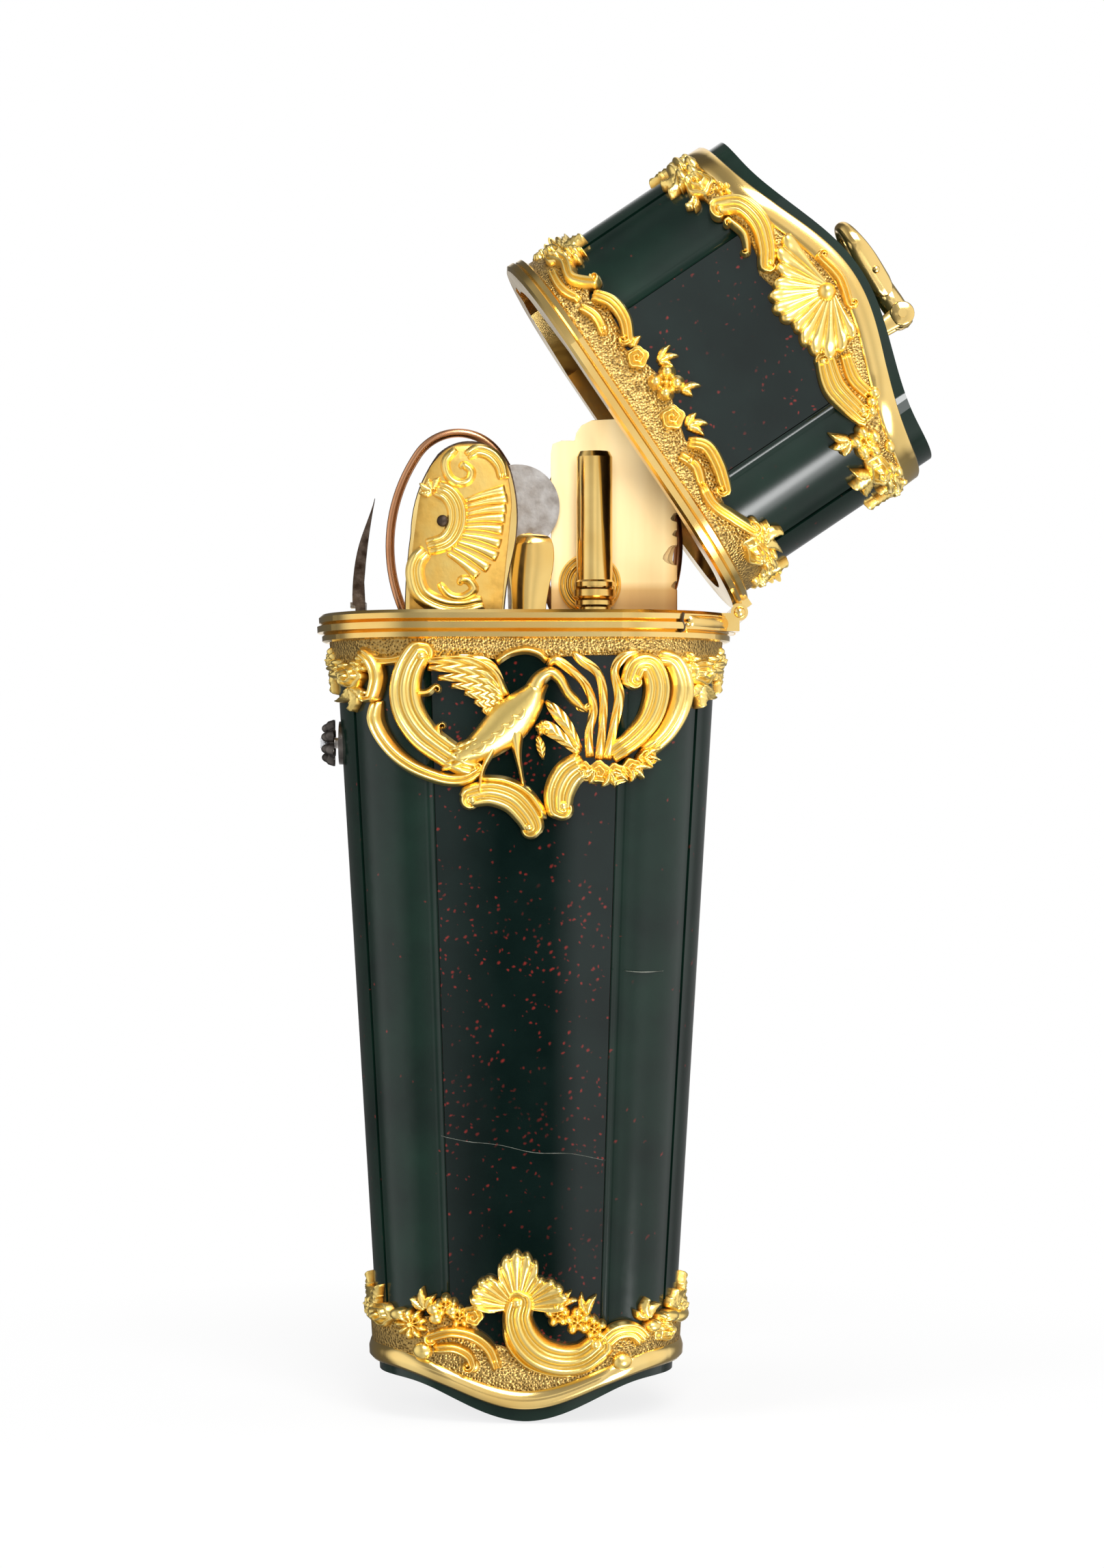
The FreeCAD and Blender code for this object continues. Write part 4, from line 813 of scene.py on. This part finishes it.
GOLD = metal("polished_gold", (0.9, 0.58, 0.17), (1.0, 0.74, 0.29), (0.12, 0.22), 140, 0.04)
CHASED = chased_gold()
STIPPLED = stippled_gold()
ROSE_GOLD = metal("rose_gold", (0.55, 0.24, 0.11), (0.82, 0.43, 0.23), (0.22, 0.34), 220, 0.05)
STEEL = metal("pitted_steel", (0.32, 0.28, 0.25), (0.74, 0.7, 0.66), (0.3, 0.5), 900, 0.3)
DARK_STEEL = metal("rusty_steel", (0.03, 0.018, 0.012), (0.12, 0.09, 0.07), (0.45, 0.7), 1100, 0.6)
SILVER = metal("blackened_silver", (0.03, 0.026, 0.022), (0.18, 0.16, 0.145), (0.3, 0.5), 800, 0.4)
STONE = bloodstone("bloodstone_centre", (0.0012, 0.0035, 0.003), (0.003, 0.007, 0.006), 0.5)
FLANK = bloodstone("bloodstone_flank", (0.0012, 0.005, 0.0035), (0.003, 0.012, 0.0075), 0.14, 0.2)
DARK_STONE = bloodstone("bloodstone_plain", (0.003, 0.008, 0.006), (0.006, 0.015, 0.01), 0.04)
IVORY = ivory()
LINING = lining()
JEWEL = jewel()
CRACK = metal("stone_crack", (0.1, 0.11, 0.09), (0.3, 0.31, 0.27), (0.6, 0.8), 900, 0.2)


def node_finish(name):
    if name.endswith(("panel_front", "panel_back")):
        return STONE
    if "panel" in name:
        return FLANK
    if name in ("base_stone", "lid_top_stone"):
        return DARK_STONE
    if "liner" in name and "knife" not in name or "divider" in name:
        return LINING
    if name in ("hooked_pick", "knife_liners", "knife_back_spring"):
        return DARK_STEEL
    if name in ("knife_blade", "spatula", "scissor_blade_left", "scissor_blade_right", "scissor_screw",
                "catch_spring"):
        return STEEL
    if "scissor_bow" in name:
        return ROSE_GOLD
    if "tablet_leaf" in name:
        return IVORY
    if name in ("button_rosette", "button_collar"):
        return SILVER
    if name == "button_jewel":
        return JEWEL
    return GOLD


def paint(piece, material):
    piece.data.materials.clear()
    piece.data.materials.append(material)


for node_name, node_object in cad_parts.items():
    paint(node_object, node_finish(node_name))


def fit(piece, body, material):
    paint(piece, material)
    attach(piece, body)
    return piece


# Band round the whole section, from rows of heights at each point of the outline and their lifts
def band(name, body, material, heights, lifts):
    rows = []
    for z, h in zip(heights, lifts):
        z = np.broadcast_to(np.asarray(z, float), len(LOOP))
        s = lid_scale(z) if body == "lid" else case_scale(z)
        rows.append(np.stack((LOOP[:, 0] * s + LOOP[:, 2] * h, LOOP[:, 1] * s + LOOP[:, 3] * h, z), 1))
    points = np.concatenate(rows)
    if body == "lid":
        points = opened(points)
    piece = mesh_object(name, points, grid_faces(len(rows), len(LOOP), 0, True), BAND_LEVEL)
    fit(piece, body, material)


# Relief of a mount: one ornament on the front and back, one posy on both sides
def mount_relief(name, node, body, ornament, posy, placings):
    piece = relief_piece(name, list(zip((ornament, ornament, posy, posy), placings)))
    fit(piece, body, CHASED)
    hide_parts(node)


# Case mounts
mount_relief("upper_cage_relief", "upper_cage_mount", "case", upper_mount(), side_posy(69.2, False), ON_CASE)
upper_foot = loop_level([
    (-17.4, 68.3), (-13.0, 68.9), (-11.0, 68.6), (-9.0, 69.0), (-4.0, 69.1), (-2.4, 68.9), (-0.8, 69.6),
    (1.0, 69.6), (2.0, 69.1), (6.0, 69.3), (9.0, 69.3), (12.0, 69.0), (17.4, 68.3)])
band("upper_cage_ground", "case", STIPPLED, [upper_foot, upper_foot + 0.1, 70.0, 70.9],
     [SUNK, 0.5, 0.55, 0.6])

mount_relief("lower_cage_relief", "lower_cage_mount", "case", lower_mount(), side_posy(9.6, True), ON_CASE)
heads = [berry(x, z, 0.85, 1.45) for x, z in ((-9.0, 6.7), (8.5, 5.8))]
rivet_heads = relief_piece("foot_rivet_heads", [(heads, case_front), (heads, case_back)])
fit(rivet_heads, "case", CHASED)
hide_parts("foot_rivets")
foot_line = ogee(LOOP[:, 0] * case_scale(4.0), *FOOT_EDGE)
lower_top = loop_level([
    (-13.8, 10.6), (-12.6, 9.8), (-11.0, 9.4), (-8.9, 9.8), (-6.3, 10.3), (-5.0, 9.9), (-4.2, 8.6),
    (-3.6, 7.4), (-1.9, 7.1), (1.0, 6.9), (5.6, 7.1), (6.9, 8.4), (8.2, 8.8), (10.3, 8.8), (11.5, 9.2),
    (13.0, 9.7), (13.8, 10.4)], case_scale(8.0))
lower_middle = 0.5 * (foot_line + lower_top)
band("lower_cage_ground", "case", STIPPLED,
     [foot_line + 1.0, foot_line + 1.2, lower_middle, lower_top - 0.1, lower_top],
     [0.3, 0.5, 0.5, 0.5, SUNK])
band("lower_cage_moulding", "case", GOLD, [foot_line + up for up in FOOT_ROLL],
     [SUNK, 0.55, 0.82, 0.8, 0.58, SUNK])

# Lid mounts
mount_relief("lid_lower_cage_relief", "lid_lower_cage_mount", "lid", lid_low_mount(),
             side_posy(3.6, True), ON_LID)
lid_low_top = LID_BASE + loop_level([
    (-17.2, 4.0), (-13.5, 4.3), (-12.0, 4.7), (-11.1, 4.0), (-9.6, 5.0), (-7.2, 4.8), (-5.8, 4.2),
    (-4.4, 4.9), (-1.1, 5.6), (1.8, 4.8), (4.2, 4.1), (5.7, 5.0), (8.3, 4.7), (9.8, 4.0), (11.6, 3.7),
    (13.6, 4.4), (17.2, 4.0)])
band("lid_lower_cage_ground", "lid", STIPPLED,
     [LID_BASE + 1.6, LID_BASE + 2.0, lid_low_top - 0.1, lid_low_top], [0.6, 0.55, 0.5, SUNK])
mount_relief("lid_upper_cage_relief", "lid_upper_cage_mount", "lid", lid_high_mount(),
             side_posy(18.6, False), ON_LID)
lid_line = LID_BASE + ogee(LOOP[:, 0], *LID_EDGE)
lid_high_foot = LID_BASE + loop_level([
    (-17.4, 17.6), (-14.0, 17.4), (-11.5, 18.0), (-9.0, 19.0), (-6.0, 18.6), (-4.6, 17.8), (-2.0, 18.4),
    (0.2, 18.6), (3.0, 18.4), (5.0, 18.0), (8.0, 17.4), (10.5, 17.9), (13.0, 17.3), (17.4, 17.4)])
band("lid_upper_cage_ground", "lid", STIPPLED,
     [lid_high_foot, lid_high_foot + 0.1, lid_line - 2.4, lid_line - 1.8], [SUNK, 0.5, 0.5, 0.45])
band("lid_upper_cage_moulding", "lid", GOLD, [lid_line - down for down in LID_STRIP],
     [SUNK, 0.6, 0.72, 0.66, 0.55, SUNK])


# Relief in one place, on its carrier
def relief(name, patches, place, body, material):
    return fit(relief_piece(name, [(patches, place)]), body, material)


# Knife handle: chased shell between scrolls
def knife_relief():
    out = scrolls(
        ([(-6.2, 88.2), (-7.2, 87.1), (-7.0, 85.8), (-6.2, 85.1), (-5.2, 85.3), (-4.9, 86.1),
          (-5.6, 86.7), (-6.0, 86.3)], 0.95, 0.8, 0, 0, 1),
        ([(-5.4, 87.4), (-4.4, 88.0), (-3.2, 87.7), (-2.3, 86.7), (-2.0, 85.4)], 1.3, 0.8, 0, 0, 2),
        ([(-8.2, 84.7), (-6.9, 84.0), (-6.2, 82.7), (-6.3, 81.1), (-7.2, 79.8), (-9.0, 79.2)],
         1.9, 0.9, 0, 0, 3),
        ([(-8.9, 79.0), (-9.8, 78.0), (-10.0, 76.7), (-9.4, 75.0), (-7.7, 74.0), (-5.7, 73.8),
          (-3.7, 74.3)], 1.8, 0.9, 0, 0, 2),
        ([(-7.9, 76.1), (-6.9, 74.9), (-5.7, 74.7), (-4.7, 75.4), (-5.1, 76.2), (-5.8, 76.3),
          (-6.0, 75.7)], 0.95, 0.8, 0, 0, 1))
    ribs = [((-5.6, 83.4), (-1.7, 84.5)), ((-5.6, 82.9), (-1.5, 83.7)), ((-5.6, 82.2), (-1.6, 82.8)),
            ((-5.7, 81.6), (-1.7, 81.9)), ((-5.8, 81.0), (-1.9, 80.8)), ((-6.1, 80.4), (-2.1, 79.5)),
            ((-6.4, 79.8), (-2.4, 78.3)), ((-6.8, 79.3), (-3.2, 77.2)), ((-7.2, 78.8), (-4.2, 76.5))]
    for (x0, z0), (x1, z1) in ribs:
        middle = (0.5 * (x0 + x1), 0.5 * (z0 + z1) + 0.12)
        out.append(strip([(x0, z0), middle, (x1, z1)], [0.5, 0.8, 1.15], 0.7, rounded, 24, 12))
    out += spray(-8.4, 84.4, [(150, 1.4), (190, 1.3), (110, 1.2), (60, 1.4)], 0.9, 0.7)
    return out


relief("knife_handle_relief", knife_relief(), knife_front, "knife", CHASED)
handle = [strip([(-6.35, 73.0), (-6.15, 77.0), (-5.6, 82.0), (-5.35, 84.0), (-5.2, 86.5), (-5.2, 88.0),
                 (-5.2, 88.7)], [8.4, 8.6, 8.5, 8.2, 6.8, 4.4, 1.6], 0.42, rounded, 60, 30)]
relief("knife_handle_ground", handle, knife_front, "knife", CHASED)
relief("knife_pin_head", [berry(-7.5, 81.65, 0.6, 0.75)], knife_front, "knife", DARK_STEEL)

# Ear spoon: domed thumb piece with a turned-over top
thumb = [strip([(0.3, 72.0), (0.3, 74.0), (0.4, 76.0), (0.55, 77.8), (0.6, 79.0), (0.6, 79.9), (0.55, 80.5),
                (0.55, 80.8)], [3.0, 3.1, 3.5, 3.9, 4.0, 3.7, 2.9, 1.6], 0.9, moulded(1), 60, 24)]
relief("spoon_thumb", thumb, spoon_front, "spoon", GOLD)


# Turned rings on the boss of the tablets
def boss_rings():
    ring = np.linspace(0, 1, 40)[:, None]
    rise = 0.18 + 0.14 * np.cos(4 * 2 * math.pi * ring) + np.zeros((40, 49))
    rise[-1] = SUNK
    return [polar(0.0, 0.0, BOSS_RADIUS, rise)]


relief("tablet_boss_rings", boss_rings(), boss_front, "tablets", GOLD)

# Push button: domed silver rosette
petals = [blossom(0.0, 0.0, 2.3, 0.95, 8)]
for step in range(8):
    turn = math.radians(45 * step + 23)
    petals.append(berry(1.45 * math.cos(turn), 1.45 * math.sin(turn), 0.5, 1.15))
rosette = relief("button_rosette_dome", petals, button_out, "catch", SILVER)
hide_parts("button_rosette")


# Suspension bow: a drop-shaped loop round its eye, thinner towards the free end, and a bar with a knuckle
def loop_grid(x, z, eye, rim, tall):
    turn = np.linspace(0, 2 * math.pi, 97)[:, None]
    aside = np.abs((turn + math.pi) % (2 * math.pi) - math.pi)
    reach = rim / np.cos(np.clip(aside, BOW_TIP, BOW_TANGENT) - BOW_TANGENT)
    out = 0.5 * (reach + eye) + 0.5 * (reach - eye) * np.cos(ROUND_WAY)
    thick = tall * (0.76 + 0.24 * np.cos(turn))
    return np.stack((x + out * np.cos(turn), out * np.sin(turn), z + thick * np.sin(ROUND_WAY)), -1)


# Bar along x, from stations of x, half width and half height
def bar_grid(stations, z):
    x, wide, tall = np.array(stations).T[..., None]
    return np.stack((x + 0 * ROUND_WAY, wide * np.cos(ROUND_WAY), z + tall * np.sin(ROUND_WAY)), -1)


# Round knuckle along y, from stations of depth and radius
def knuckle_grid(x, z, stations):
    depth, radius = np.array(stations).T[..., None]
    depth = depth + 0 * ROUND_WAY
    return np.stack((x + radius * np.cos(ROUND_WAY), depth, z + radius * np.sin(ROUND_WAY)), -1)


bow_grids = [loop_grid(BOW_EYE_X, BOW_Z, 1.75, 2.65, 1.16),
             bar_grid([(1.6, 0.0, 0.0), (1.7, 1.0, 1.1), (3.5, 1.02, 1.15), (4.8, 0.98, 1.12),
                       (5.6, 0.9, 1.0), (6.1, 0.7, 0.65), (6.3, 0.0, 0.0)], BOW_Z),
             knuckle_grid(0.3, BOW_Z + 0.25, [(-2.1, 0.0), (-2.08, 0.22), (-1.95, 0.34), (-1.6, 0.4)])]
bow_piece = grid_piece("suspension_bow_bar", [opened(grid) for grid in bow_grids])
fit(bow_piece, "bow", GOLD)
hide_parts("suspension_bow")

# Lugs of the bow: round ears on narrow stems
lug_grids = []
for near, far in ((LUG_NEAR, LUG_FAR), (-LUG_FAR, -LUG_NEAR)):
    ear = [(near, 0.0), (near, 1.0), (near + 0.1, 1.15), (far - 0.1, 1.15), (far, 1.0), (far, 0.0)]
    lug_grids.append(knuckle_grid(BOW_KNUCKLE_X, BOW_Z, ear))
    stem = bar_grid([(-3.6, 1.1, 1.0), (-2.2, 0.8, 0.8), (-0.8, 0.7, 0.9), (0.0, 0.5, 0.9)], 0.0)
    depth = 0.5 * (near + far) + 0.42 * stem[..., 1]
    lug_grids.append(np.stack((BOW_KNUCKLE_X + stem[..., 2], depth, BOW_Z + stem[..., 0]), -1))
lug_piece = grid_piece("bow_lug_ears", [opened(grid) for grid in lug_grids])
fit(lug_piece, "lid", GOLD)
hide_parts("bow_lugs")

# Hinge block at the end of the case's rim with its dark seam and pin mark, and the head of the hinge pin
block = [strip([(13.5, 72.35), (15.5, 72.35), (17.6, 72.35)], [2.0, 2.1, 2.2], 1.75, rounded, 20, 16)]
relief("hinge_block", block, case_front, "case", GOLD)
seam = [strip([(13.2, 71.3), (13.35, 71.9), (13.2, 72.5), (13.35, 73.3)], [0.16, 0.2, 0.2, 0.16],
              1.78, rounded, 24, 6)]
relief("hinge_block_seam", seam, case_front, "case", DARK_STEEL)
relief("hinge_block_pin", [berry(13.6, 72.1, 0.36, 1.9)], case_front, "case", GOLD)
dome = [(-5.42, 0.0), (-5.38, 0.22), (-5.26, 0.42), (-5.1, 0.52), (-4.9, 0.55)]
fit(grid_piece("hinge_pin_head", [knuckle_grid(*HINGE, dome)]), "case", GOLD)

# Hair crack and nick in the stone
crack = [strip([(-7.6, 26.1), (-5.2, 25.6), (-2.4, 25.3), (0.8, 24.6), (4.1, 24.5), (7.2, 23.9)],
               [0.05, 0.08, 0.05, 0.08, 0.06, 0.04], 0.03, rounded, 60, 4),
         strip([(8.9, 41.0), (10.6, 40.85), (12.6, 40.9)], [0.04, 0.12, 0.03], 0.03, rounded, 24, 4)]
relief("stone_crack", crack, case_front, "case", CRACK)


# Tablets with scalloped, nibbled edges; each further leaf stands a little lower
def tablet_outline(drop):
    left, right, foot = 2.3, 14.0, RIM_TOP - 1.5
    shoulder = [(left, 15.0), (left + 0.15, 15.9), (left + 1.0, 16.2), (left + 2.2, 16.2),
                (left + 2.35, 16.9), (left + 2.8, 17.6), (left + 3.8, 18.1), (8.15, 18.2)]
    shoulder = [(x, RIM_TOP + h - drop) for x, h in shoulder]
    points = [(left, foot)] + shoulder + [(left + right - x, z) for x, z in shoulder[::-1][1:]]
    for middle, bite in ((12.4, 1.0), (9.1, 0.55), (7.6, 0.4), (5.6, 1.25), (2.8, 0.5)):
        for step in range(9):
            turn = math.pi * step / 8
            deep = bite * (1 - 1.2 * drop) * (1 + 0.15 * math.cos(3 * turn))
            points.append((right - deep * math.sin(turn), RIM_TOP + middle + 0.75 * bite * math.cos(turn)))
    return points + [(right, foot), (5.9, foot - 1.7)]


def flat_piece(name, outline, y0, y1, bevel):
    count = len(outline)
    points = np.array([(x, y, z) for y in (y0, y1) for x, z in outline])
    faces = [tuple(range(count)), tuple(range(2 * count - 1, count - 1, -1))]
    for i in range(count):
        j = (i + 1) % count
        faces.append((i, i + count, j + count, j))
    piece = mesh_object(name, points, faces)
    piece.data.polygons.foreach_set("use_smooth", [False] * len(faces))
    edge_round = piece.modifiers.new("edge", "BEVEL")
    edge_round.width = bevel * MM
    edge_round.segments = 2
    return piece


for order, leaf_name in enumerate(("front", "middle", "back")):
    near = LEAF_FACE + order * (LEAF + LEAF_PLAY)
    outline = tablet_outline(LEAF_DROP * order)
    tablet = flat_piece("tablet_leaf_scalloped_" + leaf_name, outline, near, near + LEAF, LEAF_BEVEL)
    fit(tablet, "leaf_" + leaf_name, IVORY)
    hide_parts("tablet_leaf_" + leaf_name)


# Studio: small pale floor, soft boxes, white surroundings with a dark gap where the camera stands
def floor_disc(radius, sides):
    ring = [(radius * math.cos(2 * math.pi * i / sides), radius * math.sin(2 * math.pi * i / sides), 0)
            for i in range(sides)]
    mesh = bpy.data.meshes.new("studio_floor")
    mesh.from_pydata(ring, [], [tuple(range(sides))])
    disc = bpy.data.objects.new("studio_floor", mesh)
    bpy.context.scene.collection.objects.link(disc)
    disc.visible_glossy = False
    return disc


# Matt floor that fades to plain white away from the object
def floor_finish():
    material, tree, shader = new_material("studio_floor", {"Roughness": 0.9, "Specular IOR Level": 0.0})
    tree.links.new(shade(tree, noise(tree, 30), [(0.3, 0.6), (0.7, 0.64)]), shader.inputs["Base Color"])
    place = add(tree, "ShaderNodeTexCoord")
    length = add(tree, "ShaderNodeVectorMath", operation="LENGTH")
    tree.links.new(place.outputs["Object"], length.inputs[0])
    fade = share_of(tree, length.outputs["Value"], FLOOR_NEAR, FLOOR_REACH, 0.8)
    rays = add(tree, "ShaderNodeLightPath")
    glow = add(tree, "ShaderNodeEmission")
    mixed = add(tree, "ShaderNodeMixShader")
    tree.links.new(product(tree, rays.outputs["Is Camera Ray"], fade), mixed.inputs["Fac"])
    tree.links.new(shader.outputs["BSDF"], mixed.inputs[1])
    tree.links.new(glow.outputs["Emission"], mixed.inputs[2])
    tree.links.new(mixed.outputs["Shader"], tree.nodes["Material Output"].inputs["Surface"])
    return material


paint(floor_disc(FLOOR_REACH, 64), floor_finish())


# Share of the half turn that the flat front mirrors at breadth x
def mirrored_at(x):
    return 0.5 + 0.5 * (x * MM - CAMERA_X) / CAMERA_AWAY


# Brightness by the way a ray goes: half from left to right, upright from below to above
def studio_world():
    world = bpy.data.worlds.new("studio")
    bpy.context.scene.world = world
    world.use_nodes = True
    tree = world.node_tree
    parts = axes(tree, "Generated")
    half = share_of(tree, parts["X"], -1.0, 1.0)
    upright = share_of(tree, parts["Z"], -1.0, 1.0)
    across = shade(tree, half, [(0.0, 1.0), (0.1, 0.95), (0.26, 0.3), (0.4, 0.35), (0.487, 0.5),
                                (0.502, 0.95), (0.66, 0.7), (0.8, 0.95), (1.0, 1.0)])
    gap = shade(tree, half, [(mirrored_at(-5.2), 1.0), (mirrored_at(-4.3), 0.0), (mirrored_at(2.6), 0.0),
                             (mirrored_at(3.4), 1.0)])
    below = shade(tree, upright, [(0.365, 0.0), (0.378, 1.0), (0.5, 1.0), (0.506, 0.0)])
    streaked = times(tree, across, mix(tree, below, WHITE, gap))
    over = shade(tree, half, [(0.0, 1.0), (0.1, 0.95), (0.26, 0.7), (0.42, 0.8), (0.455, 1.0),
                              (0.502, 1.0), (0.66, 0.7), (0.8, 0.95), (1.0, 1.0)])
    high = shade(tree, upright, [(0.36, 1.0), (0.37, 0.0), (0.517, 0.0), (0.522, 1.0), (0.56, 1.0),
                                 (0.58, 0.0)])
    along = shade(tree, upright, [(0.0, 0.7), (0.3, 0.85), (0.42, 1.0), (0.7, 1.0), (1.0, 0.9)])
    front = times(tree, mix(tree, high, streaked, over), along)
    behind = shade(tree, parts["Y"], [(0.1, 0.0), (0.4, 1.0)])
    far_side = shade(tree, half, [(0.0, 0.5), (0.08, 0.12), (0.4, 0.1), (0.46, 1.0), (0.54, 1.0),
                                  (0.62, 0.25), (0.86, 0.2), (0.94, 0.9), (1.0, 1.0)])
    studio = mix(tree, behind, front, far_side)
    rays = add(tree, "ShaderNodeLightPath")
    seen = mix(tree, rays.outputs["Is Camera Ray"], studio, WHITE)
    tree.links.new(seen, tree.nodes["Background"].inputs["Color"])


studio_world()


def soft_box(name, place, target, size, power, mirrored=True):
    data = bpy.data.lights.new(name, "AREA")
    data.shape = "RECTANGLE"
    data.size, data.size_y = size
    data.energy = power
    lamp = bpy.data.objects.new(name, data)
    bpy.context.scene.collection.objects.link(lamp)
    lamp.location = place
    lamp.rotation_euler = (Vector(target) - Vector(place)).to_track_quat("-Z", "Y").to_euler()
    lamp.visible_glossy = mirrored


soft_box("left_box", (-0.5, -0.3, 0.2), AIM, (0.2, 0.5), 3.0, False)
soft_box("front_box", (0.03, -0.6, 0.2), AIM, (0.3, 0.3), 3.6, False)
soft_box("top_box", (0.12, -0.4, 0.5), AIM, (0.28, 0.3), 3.5)
soft_box("table_box", (0.243, -0.33, -0.23), LID_FLANK, (0.09, 0.24), 1.1)
soft_box("table_screen", (0.25, -0.34, -0.24), LID_FLANK, (0.27, 0.26), 0.9)

# Camera in front of the case
camera_data = bpy.data.cameras.new("camera")
camera = bpy.data.objects.new("camera", camera_data)
bpy.context.scene.collection.objects.link(camera)
bpy.context.scene.camera = camera
camera_data.sensor_width = SENSOR
camera_data.lens = SENSOR * CAMERA_AWAY / SEEN_HEIGHT
camera.location = (CAMERA_X, -CAMERA_AWAY - SEEN_PLANE, CAMERA_Z)
camera.rotation_euler = (math.radians(90), 0, 0)
bpy.context.scene.view_settings.view_transform = "Standard"
